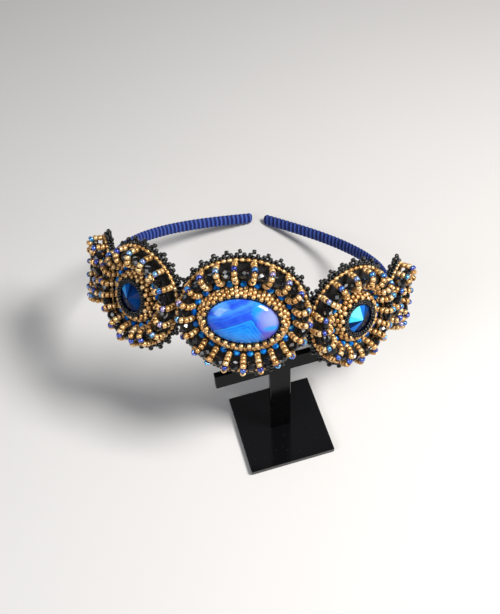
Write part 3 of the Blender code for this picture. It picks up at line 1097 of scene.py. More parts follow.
@dataclass
class Medallion:
    """One domed flower of beads round a stone."""

    band: BandCurve
    beads: BeadBox
    finishes: dict
    name: str
    along: float
    raised: float
    half_width: float
    half_height: float
    stone_width: float
    stone_height: float
    bezel_width: float
    spokes: int
    first_spoke: float
    crystal_radius: float
    cage_clearance: float = 0.6
    bead_pitch: float = 1.95
    seed: BeadForm = BeadForm(1.24, 1.78, 0.50)
    fine: BeadForm = BeadForm(0.80, 1.90, 0.28, 10, 6)
    bezel_bead: BeadForm = BeadForm(1.02, 1.72, 0.36)
    rim_bead: BeadForm = BeadForm(0.64, 1.12, 0.20, 10, 5)
    arch_table: tuple = (
        (0.19, 1.6),
        (0.22, 4.0),
        (0.36, 6.7),
        (0.60, 7.3),
        (0.80, 6.5),
        (0.87, 4.2),
        (0.87, 1.9),
    )
    arch_steps: int = 8
    arch_step: float = 0.2
    arch_thread: float = 0.20
    shoulder_share: float = 0.67
    shoulder_rise: float = 0.12
    sway: float = 0.45
    string_share: float = 0.56
    string_height: float = 5.2
    string_thread: float = 0.3
    string_points: int = 120
    crystal_share: float = 0.10
    crystal_height: float = 2.2
    outline_inset: float = 0.5
    outline_height: float = 0.95
    outline_pitch: float = 2.4
    outline_thread: float = 0.24
    outline_points: int = 160
    small_turn: float = 0.01

    def oval(self, share: object) -> tuple:
        """Half width, half height and raise of the oval a share of the way outwards."""
        inner_width = self.stone_width + self.bezel_width + self.cage_clearance
        inner_height = self.stone_height + self.bezel_width + self.cage_clearance
        return (
            inner_width + share * (self.half_width - inner_width),
            inner_height + share * (self.half_height - inner_height),
            self.raised * share,
        )

    @staticmethod
    def even_angles(width: float, height: float, count: int, shift: float = 0.0) -> np.ndarray:
        """Oval angles whose points are evenly spaced, starting at the top."""
        angles = np.linspace(0.0, FULL_TURN, OVAL_SAMPLES)
        speed = np.hypot(width * np.sin(angles), height * np.cos(angles))
        length = running_sum(speed, angles[1])
        wanted = (np.arange(count) + shift) / count * length[-1]
        start = np.interp(0.5 * math.pi, angles, length)
        return np.interp((wanted + start) % length[-1], length, angles)

    def spoke_angles(self, shift: float = 0.0) -> np.ndarray:
        """Angles of the spokes, or with a shift of a half the gaps between them."""
        width, height, _ = self.oval(0.5)
        return self.even_angles(width, height, self.spokes, self.first_spoke + shift)

    def ring(self, width: float, height: float, raised: float, angles: np.ndarray,
             out: object) -> BeadLine:
        """Beads threaded along an oval that follows the bent backing."""

        def place(turn: np.ndarray) -> np.ndarray:
            """Points of the oval."""
            return self.band.place(self.along + width * np.cos(turn),
                                   raised + height * np.sin(turn), self.band.face + out)

        axes = unit(place(angles + self.small_turn) - place(angles - self.small_turn))
        return BeadLine(place(angles), axes,
                        self.band.outwards(self.along + width * np.cos(angles)))

    def loop_thread(self, oval: tuple, points: int, out: float, radius: float) -> Surface:
        """The closed thread under a ring of beads."""
        return thread(self.ring(*oval, around(points), out).centres, radius, True)

    def arches(self) -> tuple:
        """Beads along every spoke's arch, and which of them sit at the shoulder.

        An arch is the smooth curve through arch_table, drawn square to the oval, and
        its beads are evenly spaced along its length. Each arch leans sideways by a
        small random step times the square of its height's share of the crown's.

        Returns:
            The run of beads, a mask of the shoulder beads, and the arches' paths.
        """
        curve = smooth_rows(self.arch_table, self.arch_steps)
        share, height = curve[:, :1], curve[:, 1:]
        angles = self.spoke_angles()
        width, tall, raised = self.oval(share)
        lean = self.beads.rng.normal(0.0, self.sway, self.spokes) * (height / height.max()) ** 2
        across = width * np.cos(angles) - lean * np.sin(angles)
        above = raised + tall * np.sin(angles) + lean * np.cos(angles)
        paths = self.band.place(self.along + across, above, self.band.face + height)
        lines, shoulders = [], []
        for number in range(self.spokes):
            path = paths[:, number]
            length = path_length(path)
            count = round(length[-1] / self.bead_pitch)
            places = (np.arange(count) + 0.5) / count * length[-1]
            axes = unit(along_path(path, length, places + self.arch_step)
                        - along_path(path, length, places - self.arch_step))
            outwards = self.band.outwards(self.along + across[:, number].mean())
            sides = np.cross(axes, outwards) + NEVER_ZERO
            lines.append(BeadLine(along_path(path, length, places), axes, sides))
            rise = self.shoulder_rise * max(math.sin(angles[number]), 0.0)
            shoulder = np.interp(self.shoulder_share + rise, curve[:-2, 0], length[:-2])
            shoulders.append(np.arange(count) == np.argmin(np.abs(places - shoulder)))
        return BeadLine.joined(lines), np.concatenate(shoulders), paths

    def build_spokes(self) -> None:
        """Gold beads of the arches, with an iris bead at each shoulder, on their threads."""
        line, shoulder, paths = self.arches()
        threads = [thread(paths[::self.arch_steps // 2, number], self.arch_thread, False)
                   for number in range(self.spokes)]
        beads = self.beads.surface(self.seed, line.picked(~shoulder))
        gold = joined_surfaces([beads, *threads])
        gold.piece("arch_beads_" + self.name, self.finishes["gold"], Slot.GOLD,
                   replaces=("spokes_" + self.name,))
        iris = self.beads.surface(self.seed, line.picked(shoulder), (0.0, 1.0))
        iris.piece("shoulder_beads_" + self.name, self.finishes["iris"], Slot.CRYSTAL)

    def bezel_line(self, row: BezelRow) -> BeadLine:
        """Beads of one bezel row, which follow the stone above and the backing below."""
        width = self.stone_width + row.offset
        height = self.stone_height + row.offset
        angles = self.even_angles(width, height, row.count, row.shift)

        def place(turn: np.ndarray) -> np.ndarray:
            """Points of the row."""
            across = width * np.cos(turn)
            drop = self.band.fall_away(self.along, across) * row.follows_backing
            return self.band.place_rigid(self.along, across, height * np.sin(turn),
                                         self.band.face + row.height - drop)

        axes = unit(place(angles + self.small_turn) - place(angles - self.small_turn))
        _, _, outwards = self.band.flat_axes(self.along)
        side = np.broadcast_to(outwards @ self.band.tilt.T, axes.shape)
        return BeadLine(place(angles), axes, side)

    def build_bezel(self, gold_rows: tuple, black_rows: tuple) -> None:
        """Gold rows laid like bricks, and rows of fine black beads over the stone's rim."""
        gold, black = (BeadLine.joined([self.bezel_line(BezelRow(*row)) for row in rows])
                       for rows in (gold_rows, black_rows))
        surface = self.beads.surface(self.bezel_bead, gold)
        surface.piece("bezel_beads_" + self.name, self.finishes["gold"], Slot.GOLD,
                      replaces=("bezel_" + self.name,))
        surface = self.beads.surface(self.rim_bead, black, (0.0, 0.5))
        surface.piece("rim_beads_" + self.name, self.finishes["black"], Slot.BLACK)

    @staticmethod
    def perimeter(width: float, height: float) -> float:
        """Length round an oval, to a close approximation.

        Three times the sum of the half axes, less the root of a product, all times
        pi. The product's factors are three times one half axis plus the other.
        """
        return math.pi * (3.0 * (width + height)
                          - math.sqrt((3.0 * width + height) * (width + 3.0 * height)))

    def build_cut_beads(self, form: CutForm) -> None:
        """Black cut beads on their string, one in each gap between the spokes."""
        oval = self.oval(self.string_share)
        line = self.ring(*oval, self.spoke_angles(0.5), self.string_height)
        cut = self.beads.facet_tones(self.beads.surface(form, line), 0.0, 1.0)
        string = self.loop_thread(oval, self.string_points, self.string_height,
                                  self.string_thread)
        whole = joined_surfaces([cut, string])
        whole.piece("faceted_beads_" + self.name, self.finishes["cut_black"], Slot.BLACK,
                    Shading.FACETED, ("cut_beads_" + self.name,))

    def build_crystals(self, form: CutForm) -> None:
        """Small blue crystals at the inner end of each gap."""
        line = self.ring(*self.oval(self.crystal_share), self.spoke_angles(0.5),
                         self.crystal_height)
        surface = self.beads.facet_tones(self.beads.surface(form, line), 0.0, 1.0)
        surface.piece("blue_crystals_" + self.name, self.finishes["small_crystal"],
                      Slot.CRYSTAL, Shading.FACETED)

    def build_outline(self) -> None:
        """Fine gold beads on a thread round the medallion's edge."""
        width = self.half_width - self.outline_inset
        height = self.half_height - self.outline_inset
        oval = (width, height, self.raised)
        count = int(self.perimeter(width, height) / self.outline_pitch)
        line = self.ring(*oval, self.even_angles(width, height, count), self.outline_height)
        under = self.loop_thread(oval, self.outline_points, self.outline_height,
                                 self.outline_thread)
        whole = joined_surfaces([self.beads.surface(self.fine, line), under])
        whole.piece("outline_beads_" + self.name, self.finishes["gold"], Slot.GOLD)


@dataclass
class OvalCabochon:
    """The polished agate of the centre medallion."""

    band: BandCurve
    half_width: float = 15.0
    half_height: float = 10.0
    foot: float = 0.3
    girdle: float = 1.9
    crown: float = 7.3
    wall_shares: tuple = (0.96, 1.0, 1.0)
    foot_bevel: float = 0.4
    radius_power: float = 0.8
    height_power: float = 0.9
    rings: int = 26
    sides: int = 96

    def build(self, material: bpy.types.Material) -> None:
        """A low upright wall, then a dome.

        The dome's radius is the cosine of an angle to one power, and its height is the
        sine to another. The points keep their flat place for the bands.

        Args:
            material: the stone's finish.
        """
        t = np.linspace(0.0, 0.5 * math.pi, self.rings)[1:-1]
        share = np.concatenate((self.wall_shares, np.cos(t) ** self.radius_power))
        rise = np.concatenate(((0.0, 0.0, 0.0), np.sin(t) ** self.height_power, (1.0,)))
        lift = self.girdle + rise * (self.crown - self.girdle)
        lift[:2] = (self.foot, self.foot + self.foot_bevel)
        turn = around(self.sides)
        rows = len(share)
        flat = share[:, None, None] * np.stack((np.cos(turn), np.sin(turn)), axis=-1)
        flat = np.concatenate((flat.reshape(-1, 2), ((0.0, 0.0),)))
        out = np.concatenate((np.repeat(lift[:-1], self.sides), lift[-1:]))
        points = self.band.place_rigid(0.0, flat[:, 0] * self.half_width,
                                       flat[:, 1] * self.half_height, self.band.face + out)
        ring = (rows - 1) * self.sides + np.arange(self.sides)
        faces = [grid_faces(rows, self.sides, False, True), fan_faces(ring, rows * self.sides),
                 np.arange(self.sides)[None, ::-1]]
        surface = Surface(points, faces, flat_map=flat)
        surface.piece("agate_cabochon", material, Slot.AGATE, replaces=("cabochon",))


@dataclass
class PointedCrystal:
    """A round crystal cut to a point, with long facets from its rim."""

    band: BandCurve
    beads: BeadBox
    place: str
    along: float
    radius: float
    painted_facet_light: tuple
    first_turn: float = math.radians(10.0)
    rings: tuple = ((0.06, 0.3), (1.0, 3.3), (1.0, 3.9), (0.94, 4.25), (0.05, 6.7))
    full_size: float = 7.0
    # Shares of each long facet's painted light and shade that the bands of facets take, from
    # the pavilion up to the long facets.
    ring_tones: tuple = (0.1, 0.3, 0.6, 1.0)
    tone_spread: float = 0.05

    def build(self, material: bpy.types.Material) -> None:
        """Pavilion, girdle, a narrow bevel and the long facets up to a tiny table.

        Each long facet takes its own tone, painted light and shade: the bright and dark
        facets that the foil's reflections make, fixed to the facets. The rings below it take a
        part of that.

        Args:
            material: the foiled crystal finish.
        """
        count = len(self.painted_facet_light)
        turn = self.first_turn + around(count)
        share, lift = np.array(self.rings).T[..., None] * self.radius
        lift = lift / self.full_size
        across, up, lift = np.broadcast_arrays(share * np.cos(turn), share * np.sin(turn), lift)
        points = self.band.place_rigid(self.along, across.ravel(), up.ravel(),
                                       self.band.face + lift.ravel())
        rows = len(self.rings)
        faces = [grid_faces(rows, count, False, True), end_faces(rows, count)]
        # Painted light and shade on each column of facets, on top of a small random tone.
        tones = np.array(self.ring_tones)[:, None] * np.array(self.painted_facet_light)
        surface = self.beads.facet_tones(Surface(points, faces), 0.0, self.tone_spread)
        surface.tones[:faces[0].size] += tones.reshape(-1).repeat(4)
        surface.piece("crystal_" + self.place, material, Slot.CRYSTAL, Shading.FACETED,
                      ("stone_" + self.place,))


@dataclass
class PicotEdging:
    """Black beads round the joined medallions.

    A close row sits on the backing's rim. Outside it stand wider-spaced pairs, each
    with a third bead out between the two.
    """

    band: BandCurve
    beads: BeadBox
    ovals: tuple
    rim_margin: float = 0.55
    rim_height: float = 0.25
    rim_pitch: float = 1.6
    base_margin: float = 0.95
    tip_margin: float = 2.15
    base_pitch: float = 2.70
    unevenness: float = 0.12
    tip_clearance: float = 1.0
    pressed: tuple = (-10.6, 5.4)
    pressed_margin: float = 1.2
    pressed_pitch: float = 1.0
    pressed_inset: float = 0.6
    loop_points: int = 1600
    end_points: int = 240
    loop_step: float = 0.3
    line_step: float = 0.1
    bead: BeadForm = BeadForm(0.95, 1.60, 0.28, 10, 6)
    rim_bead: BeadForm = BeadForm(0.78, 1.30, 0.26, 10, 5)
    pressed_bead: BeadForm = BeadForm(0.42, 0.95, 0.15, 8, 5)

    def outline(self, along: np.ndarray, margin: float, side: float) -> np.ndarray:
        """Upper or lower edge of the joined medallions, widened by a margin."""
        edge = np.zeros_like(along)
        for middle, raised, half_width, half_height in self.ovals:
            share = (along - middle) / (half_width + margin)
            reach = (half_height + margin) * np.sqrt(np.clip(1.0 - share ** 2, 0.0, None))
            found = np.where(reach > 0.0, raised * side + reach, 0.0)
            edge = np.maximum(edge, found)
        return side * edge

    def loop(self, margin: float) -> np.ndarray:
        """Closed path round all the medallions, as (along, up) points close together."""
        middle, raised, half_width, half_height = self.ovals[-1]
        along = np.linspace(-middle, middle, self.loop_points)
        turn = np.linspace(0.5 * math.pi, -0.5 * math.pi, self.end_points)[1:-1]
        end_along = (half_width + margin) * np.cos(turn)
        end_up = raised + (half_height + margin) * np.sin(turn)
        upper = np.stack((along, self.outline(along, margin, 1.0)), axis=-1)
        lower = np.stack((along[::-1], self.outline(along[::-1], margin, -1.0)), axis=-1)
        right = np.stack((middle + end_along, end_up), axis=-1)
        left = np.stack((-middle - end_along, end_up[::-1]), axis=-1)
        return np.concatenate((upper, right, lower, left))

    def spaced(self, path: np.ndarray, pitch: float) -> tuple:
        """Points at a pitch along a closed path, with their directions.

        Args:
            path: the (along, up) points.
            pitch: distance between neighbours.

        Returns:
            The points, and unit vectors along the path.
        """
        closed = np.concatenate((path, path[:1]))
        length = path_length(closed)
        count = int(length[-1] / pitch)
        at = np.arange(count) * length[-1] / count
        here, ahead, behind = (along_path(closed, length, (at + step) % length[-1])
                               for step in (0.0, self.loop_step, -self.loop_step))
        return here, unit(ahead - behind)

    def line(self, flat: np.ndarray, direction: np.ndarray, out: object) -> BeadLine:
        """Beads at (along, up) points, threaded in a flat direction."""
        here, ahead, behind = (self.band.place(*(flat + step * direction).T, out)
                               for step in (0.0, self.line_step, -self.line_step))
        return BeadLine(here, unit(ahead - behind), self.band.outwards(flat[:, 0]))

    def free_of_bar(self, flat: np.ndarray, clearance: float) -> np.ndarray:
        """Which places stay clear of the crossbar below the centre medallion."""
        low, high = self.pressed
        over_bar = (flat[:, 0] > low - clearance) & (flat[:, 0] < high + clearance)
        return ~(over_bar & (flat[:, 1] < 0.0))

    def build(self, material: bpy.types.Material) -> None:
        """Rim row, pairs, the points between them, and small beads over the crossbar."""
        level = self.band.core
        rng = self.beads.rng
        rim, rim_run = self.spaced(self.loop(self.rim_margin), self.rim_pitch)
        base, run = self.spaced(self.loop(self.base_margin), self.base_pitch)
        pairs = len(base) // 2
        base, run = base[:2 * pairs], run[:2 * pairs]
        outwards = np.stack((-run[:, 1], run[:, 0]), axis=-1)
        base = base + run * rng.normal(0.0, self.unevenness, (len(base), 1))
        uneven = rng.normal(0.0, self.unevenness, (pairs, 1))
        reach = self.tip_margin - self.base_margin + uneven
        tips = base[::2] + outwards[::2] * reach + run[::2] * (self.base_pitch / 2.0)
        on_base = self.free_of_bar(base, 0.0)
        on_tips = self.free_of_bar(tips, self.tip_clearance)
        pressed, pressed_run = self.spaced(self.loop(self.pressed_margin), self.pressed_pitch)
        under = ~self.free_of_bar(pressed, -self.pressed_inset)
        tones = (0.0, 1.0)
        lines = (
            (self.rim_bead, self.line(rim, rim_run, self.band.face + self.rim_height)),
            (self.bead, self.line(base[on_base], outwards[on_base], level)),
            (self.bead, self.line(tips[on_tips], run[::2][on_tips], level)),
            (self.pressed_bead, self.line(pressed[under], pressed_run[under], level)),
        )
        parts = [self.beads.surface(form, line, tones) for form, line in lines]
        joined_surfaces(parts).piece("picot_beads", material, Slot.BLACK,
                                     replaces=("picot_edging",))


@dataclass
class LeatherBacking:
    """The leather sheet behind the medallions, sewn over along its edge."""

    band: BandCurve
    edging: PicotEdging
    margin: float = 0.6
    edge_radius: float = 0.9
    channel_place: float = 1.5
    channel_width: float = 0.45
    channel_depth: float = 0.20
    columns: int = 300
    end_columns: int = 28
    rows: int = 40
    last_turn: float = 0.04
    steepest: float = 0.18
    stitch_pitch: float = 2.7
    stitch_radius: float = 0.13
    stitch_slant: float = 0.45
    stitch_reach: float = 0.12
    stitch_insets: tuple = (1.7, 1.3, 0.9, 0.5, 0.2)
    stitch_lifts: tuple = (-0.12, 0.08, 0.10, 0.10, 0.10)

    def half_thickness(self, inset: np.ndarray) -> np.ndarray:
        """Half the sheet's thickness at a distance from its edge.

        A quarter circle from nothing at the edge to the full thickness, less a
        bell-shaped channel where the stitches pull the leather in.
        """
        level = 1.0 - np.clip(inset / self.edge_radius, 0.0, 1.0)
        channel = np.exp(-((inset - self.channel_place) / self.channel_width) ** 2)
        full = self.band.backing_thickness / 2.0
        return np.sqrt(1.0 - level ** 2) * (full - self.channel_depth * channel)

    def build_sheet(self, material: bpy.types.Material) -> None:
        """One closed skin: each column runs up the front and back down behind.

        The rows crowd towards the edges as the sine of an even angle. The distance
        from the edge is the vertical one times the cosine of the edge's slope.

        Args:
            material: the leather's finish.
        """
        middle, _, half_width, _ = self.edging.ovals[-1]
        turn = np.linspace(0.5 * math.pi, self.last_turn, self.end_columns)
        half = np.concatenate((np.linspace(0.0, middle, self.columns, endpoint=False),
                               middle + (half_width + self.margin) * np.cos(turn)))
        along = np.concatenate((-half[:0:-1], half))
        upper = self.edging.outline(along, self.margin, 1.0)
        lower = self.edging.outline(along, self.margin, -1.0)
        slope = np.gradient(upper, along)
        straight = np.maximum(1.0 / np.sqrt(1.0 + slope ** 2), self.steepest)
        share = np.sin(np.linspace(-0.5 * math.pi, 0.5 * math.pi, self.rows))
        reach = (upper - lower)[:, None] / 2.0
        up = (upper + lower)[:, None] / 2.0 + reach * share
        swell = self.half_thickness(reach * (1.0 - np.abs(share)) * straight[:, None])
        out = self.band.core + np.concatenate((swell, -swell[:, -2:0:-1]), axis=1)
        up = np.concatenate((up, up[:, -2:0:-1]), axis=1)
        points = self.band.place(along[:, None], up, out)
        faces = [grid_faces(*up.shape, False, True), end_faces(*up.shape)]
        surface = Surface(points.reshape(-1, 3), faces)
        surface.piece("leather_backing", material, Slot.LEATHER, replaces=("backing",))

    def build_stitches(self, material: bpy.types.Material) -> None:
        """Slanting stitches of thread that wrap round the edge.

        Each stitch leaves the front in the channel, follows the leather to the edge,
        and comes back the same way behind.

        Args:
            material: the thread's finish.
        """
        flat, run = self.edging.spaced(self.edging.loop(self.margin), self.stitch_pitch)
        outwards = np.stack((-run[:, 1], run[:, 0]), axis=-1)
        inset = np.array(self.stitch_insets)
        lift = self.half_thickness(inset) + np.array(self.stitch_lifts)
        inset = np.concatenate((inset, (-self.stitch_reach,), inset[::-1]))
        lift = np.concatenate((lift, (0.0,), -lift[::-1]))
        slant = np.linspace(-self.stitch_slant, self.stitch_slant, len(inset))
        path = (flat[:, None] - inset[:, None] * outwards[:, None]
                + slant[:, None] * run[:, None])
        points = self.band.place(path[..., 0], path[..., 1], self.band.core + lift)
        threads = [thread(stitch, self.stitch_radius, False) for stitch in points]
        joined_surfaces(threads).piece("edge_stitches", material, Slot.LEATHER)


@dataclass
class WrappedBand:
    """The springy band with cord wound closely round it."""

    band: BandCurve
    height: float = 6.0
    thickness: float = 3.0
    turn_pitch: float = 2.8
    turn_depth: float = 0.50
    turn_power: float = 0.6
    samples_per_turn: int = 14
    sides: int = 20
    end_shares: tuple = ((0.0, 0.66), (0.5, 0.88), (1.3, 1.0))

    def build(self, material: bpy.types.Material) -> None:
        """An oval section carried along the band, ridged by the turns of the cord.

        The section grows and shrinks as a power of a half sine of the place along the
        band plus a share of the turn round it, so that the ridges slant.

        Args:
            material: the cord's finish.
        """
        rows = int(2.0 * self.band.half_length / self.turn_pitch * self.samples_per_turn)
        arc = np.linspace(-self.band.half_length, self.band.half_length, rows)
        angle = around(self.sides)
        inset = self.band.half_length - np.abs(arc)
        size = np.interp(inset, *zip(*self.end_shares))
        phase = arc[:, None] / self.turn_pitch - angle / FULL_TURN
        crown = np.abs(np.sin(math.pi * phase)) ** self.turn_power
        swell = self.turn_depth * (crown - 1.0)
        up = size[:, None] * (self.height / 2.0 + swell) * np.cos(angle)
        out = size[:, None] * (self.thickness / 2.0 + swell) * np.sin(angle)
        points = self.band.in_space(self.band.flat_points(arc[:, None], up, out))
        flat = np.stack(np.broadcast_arrays(phase, angle / FULL_TURN), axis=-1)
        faces = [grid_faces(rows, self.sides, False, True), end_faces(rows, self.sides)]
        # The tone held at the points is each turn's crown, which the cord's finish paints as
        # highlight on the crest and shade in the groove.
        surface = Surface(points.reshape(-1, 3), faces, crown.reshape(-1), flat.reshape(-1, 2))
        surface.piece("cord_wrapped_band", material, Slot.CORD, replaces=("band",))


@dataclass
class Stand:
    """The acrylic stand, kept as the frame's own solids."""

    nodes: dict

    def dress(self, node: str, material: bpy.types.Material, slot: Slot) -> None:
        """Give one of the frame's solids a finish.

        Args:
            node: name of the solid.
            material: its finish.
            slot: the record's slot; not used.
        """
        item = self.nodes[node]
        item.data.materials.clear()
        item.data.materials.append(material)
        LOG.info("%s: finish %s", node, material.name)


@dataclass(frozen=True)
class SoftLight:
    """A square soft light: its place and side in millimetres, watts and colour."""

    name: str
    place: tuple
    size: float
    power: float
    colour: tuple


@dataclass
class Studio:
    """Pale floor, soft lights and the camera."""

    target: tuple = (-16.56, 67.17, 3.0)
    distance: float = 418.74
    azimuth: float = math.radians(5.01)
    elevation: float = math.radians(54.91)
    roll: float = math.radians(-3.97)
    focal_pixels: float = 800.0
    long_side_pixels: float = 614.0
    sensor: float = 36.0
    floor_size: float = 6000.0
    floor_drop: float = 0.2
    clip_start: float = 10.0
    aim: tuple = (-14.0, 30.0, 60.0)
    world_colour: tuple = (0.82, 0.84, 0.88)
    world_strength: float = 0.22
    lights: tuple = (
        SoftLight("key", (330.0, -60.0, 560.0), 190.0, 6.0, (1.0, 0.98, 0.95)),
        SoftLight("fill", (-380.0, -330.0, 430.0), 280.0, 1.5, (0.95, 0.97, 1.0)),
    )

    def build_camera(self) -> None:
        """Camera at the photograph's viewing angle, turned about its own axis by the roll."""
        flat = math.cos(self.elevation)
        back = Vector((math.sin(self.azimuth) * flat, -math.cos(self.azimuth) * flat,
                       math.sin(self.elevation)))
        right = (-back).cross(Vector(UP)).normalized()
        top = right.cross(-back)
        turned = math.cos(self.roll) * right + math.sin(self.roll) * top
        raised = math.cos(self.roll) * top - math.sin(self.roll) * right
        data = bpy.data.cameras.new("camera")
        data.sensor_width = self.sensor
        data.lens = self.focal_pixels / self.long_side_pixels * self.sensor
        data.clip_start = self.clip_start * MILLIMETRE
        camera = bpy.data.objects.new("camera", data)
        bpy.context.scene.collection.objects.link(camera)
        placed = Matrix((turned, raised, back)).transposed().to_4x4()
        placed.translation = (Vector(self.target) + back * self.distance) * MILLIMETRE
        camera.matrix_world = placed
        bpy.context.scene.camera = camera
        bpy.context.scene.view_settings.view_transform = "Standard"

    def build_floor(self, material: bpy.types.Material) -> None:
        """One large square floor under the stand."""
        half = self.floor_size / 2.0 * MILLIMETRE
        corners = [(x * half, y * half, 0.0) for x, y in ((-1, -1), (1, -1), (1, 1), (-1, 1))]
        mesh = bpy.data.meshes.new("floor")
        mesh.from_pydata(corners, [], [(0, 1, 2, 3)])
        mesh.materials.append(material)
        floor = bpy.data.objects.new("floor", mesh)
        floor.location.z = -self.floor_drop * MILLIMETRE
        bpy.context.scene.collection.objects.link(floor)

    def build_lights(self) -> None:
        """Soft lights that face the headband, and an even surrounding light."""
        for light in self.lights:
            data = bpy.data.lights.new(light.name, "AREA")
            data.shape = "SQUARE"
            data.size = light.size * MILLIMETRE
            data.energy = light.power
            data.color = light.colour
            lamp = bpy.data.objects.new(light.name, data)
            lamp.location = Vector(light.place) * MILLIMETRE
            aim = Vector(self.aim) * MILLIMETRE - lamp.location
            lamp.rotation_euler = aim.to_track_quat("-Z", "Y").to_euler()
            bpy.context.scene.collection.objects.link(lamp)
        world = bpy.data.worlds.new("studio_world")
        world.use_nodes = True
        background = world.node_tree.nodes["Background"]
        background.inputs["Color"].default_value = (*self.world_colour, 1.0)
        background.inputs["Strength"].default_value = self.world_strength
        bpy.context.scene.world = world


# Ramp of the pointed crystals: its dark stops are painted shade and its bright cyan stops
# painted reflections, set per facet.
STONE_PAINTED_LIGHT_TONES = (
    (0.00, (0.001, 0.002, 0.006)),
    (0.25, (0.001, 0.012, 0.070)),
    (0.40, (0.001, 0.035, 0.160)),
    (0.60, (0.004, 0.110, 0.480)),
    (0.72, (0.035, 0.220, 0.700)),
    (0.85, (0.030, 0.500, 0.820)),
    (1.00, (0.160, 0.840, 0.950)),
)
# Blues of the small crystals' facets; the stops from 0.93 up are painted glints on the facets
# whose random tone is highest.
SMALL_CRYSTAL_PAINTED_GLINT_TONES = (
    (0.00, (0.001, 0.026, 0.160)),
    (0.40, (0.002, 0.095, 0.430)),
    (0.80, (0.008, 0.210, 0.680)),
    (0.93, (0.060, 0.400, 0.700)),
    (1.00, (0.300, 0.650, 0.820)),
)
ROUND_BLACK_TONES = ((0.0, (0.001, 0.001, 0.001)), (1.0, (0.004, 0.004, 0.005)))
# Near-black facets; the stops from 0.92 up are light greys, painted reflections on the few
# facets whose random tone is highest.
CUT_BLACK_AND_PAINTED_FLASH_TONES = (
    (0.00, (0.002, 0.002, 0.002)),
    (0.80, (0.006, 0.006, 0.007)),
    (0.92, (0.030, 0.031, 0.033)),
    (0.95, (0.160, 0.165, 0.170)),
    (1.00, (0.380, 0.390, 0.400)),
)

# Name, place along the band, raise, half width and half height; the stone's half width
# and half height, and the bezel's width; spokes, and the first one's place as a share of
# a gap; radius of the small blue crystals.
MEDALLIONS = (
    ("center", 0.0, 0.7, 26.6, 24.0, 15.0, 10.0, 3.2, 21, 0.70, 1.38),
    ("left_inner", -47.8, 0.0, 20.8, 21.4, 7.0, 7.0, 3.6, 17, 0.95, 1.20),
    ("right_inner", 47.8, 0.0, 20.8, 21.4, 7.0, 7.0, 3.6, 17, 0.85, 1.20),
    ("left_outer", -83.0, 0.0, 13.7, 15.4, 4.5, 4.5, 2.9, 12, 0.0, 1.05),
    ("right_outer", 83.0, 0.0, 13.7, 15.4, 4.5, 4.5, 2.9, 12, 0.0, 1.05),
)
# Gold rows and then black rows: beads, distance out from the stone's rim, height above
# the backing, share of the backing's bend that is followed, and shift in beads.
BEZEL_ROWS = {
    "center": (((26, 0.75, 4.35), (26, 1.55, 3.80, 0.0, 0.5), (26, 2.18, 3.05, 0.3),
                (26, 2.66, 2.20, 0.6, 0.5), (26, 2.98, 1.30, 0.9)),
               ((46, -0.40, 4.05), (26, 0.42, 4.75, 0.0, 0.5))),
    "inner": (((16, 1.75, 4.05), (16, 2.45, 3.35, 0.1, 0.5), (16, 3.00, 2.55, 0.4),
               (16, 3.40, 1.70, 0.8, 0.5)),
              ((33, -0.45, 4.72), (34, 0.32, 4.80, 0.0, 0.5), (34, 1.00, 4.55))),
    "outer": (((11, 1.30, 2.55), (11, 2.02, 1.90, 0.3, 0.5), (11, 2.52, 1.15, 0.8)),
              ((21, -0.30, 3.12), (22, 0.45, 3.10, 0.0, 0.5))),
}
CUT_BEAD = CutForm(2.0, 1.9)
CRYSTAL_SIDES = 6
CRYSTAL_LENGTH_SHARE = 0.9
SEED = 7
# Tones of the twelve long facets of the pointed crystals, on the left and on the right: painted
# light and shade, the bright and dark facets of the foil's reflections, fixed to each facet.
LEFT_PAINTED_FACET_LIGHT = (0.27, 0.30, 0.22, 0.50, 0.71, 0.20, 0.10, 0.04, 0.03, 0.18, 0.34, 0.38)
RIGHT_PAINTED_FACET_LIGHT = (0.03, 0.34, 0.58, 0.94, 1.00, 0.84, 0.24, 0.63, 0.14, 0.02, 0.01, 0.02)


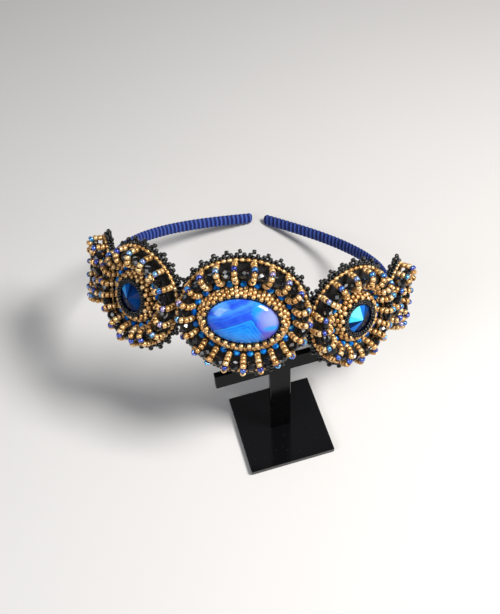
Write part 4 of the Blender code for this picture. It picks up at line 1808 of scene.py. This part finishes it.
def make_finishes() -> dict:
    """Every material, by a short name."""
    return {
        "gold": GoldBeads().make(),
        "iris": IrisBeads().make(),
        "black": DarkGlass("black_bead_finish", ROUND_BLACK_TONES, 0.60).make(),
        "cut_black": DarkGlass("cut_bead_finish", CUT_BLACK_AND_PAINTED_FLASH_TONES, 0.40).make(),
        "stone": CutBlue("pointed_crystal_finish", STONE_PAINTED_LIGHT_TONES).make(),
        "small_crystal": CutBlue("small_crystal_finish", SMALL_CRYSTAL_PAINTED_GLINT_TONES).make(),
        "agate": BandedAgate().make(),
        "cord": WrappedCord().make(),
        "leather": FineLeather().make(),
        "thread": BlackThread().make(),
        "base": BlackAcrylic("stand_base_finish", 0.40).make(),
        "tee": BlackAcrylic("stand_tee_finish", 0.04).make(),
        "table": PaleTable().make(),
    }


def build_medallions(band: BandCurve, beads: BeadBox, finishes: dict) -> None:
    """All five medallions with their stones.

    Args:
        band: the band's curve.
        beads: the maker of bead surfaces.
        finishes: the materials.
    """
    for row in MEDALLIONS:
        medallion = Medallion(band, beads, finishes, *row)
        kind = medallion.name.split("_")[-1]
        medallion.build_spokes()
        medallion.build_bezel(*BEZEL_ROWS[kind])
        medallion.build_cut_beads(CUT_BEAD)
        size = medallion.crystal_radius
        medallion.build_crystals(CutForm(size, CRYSTAL_LENGTH_SHARE * size, CRYSTAL_SIDES))
        medallion.build_outline()
        if kind == "center":
            OvalCabochon(band).build(finishes["agate"])
        else:
            painted_facet_light = LEFT_PAINTED_FACET_LIGHT if medallion.along < 0.0 else RIGHT_PAINTED_FACET_LIGHT
            stone = PointedCrystal(band, beads, medallion.name, medallion.along,
                                   medallion.stone_width, painted_facet_light)
            stone.build(finishes["stone"])


def main() -> None:
    """Build the headband's looks, the studio and the camera."""
    logging.basicConfig(level=logging.INFO, format="%(name)s: %(message)s")
    band = BandCurve()
    beads = BeadBox(np.random.default_rng(SEED))
    finishes = make_finishes()
    studio = Studio()
    studio.build_camera()
    build_medallions(band, beads, finishes)
    edging = PicotEdging(band, beads, tuple(row[1:5] for row in MEDALLIONS))
    edging.build(finishes["black"])
    backing = LeatherBacking(band, edging)
    backing.build_sheet(finishes["leather"])
    backing.build_stitches(finishes["thread"])
    WrappedBand(band).build(finishes["cord"])
    stand = Stand(frame["nodes"])
    stand.dress("stand_base", finishes["base"], Slot.ACRYLIC)
    stand.dress("stand_tee", finishes["tee"], Slot.ACRYLIC)
    studio.build_floor(finishes["table"])
    studio.build_lights()


if __name__ == "__main__":
    main()
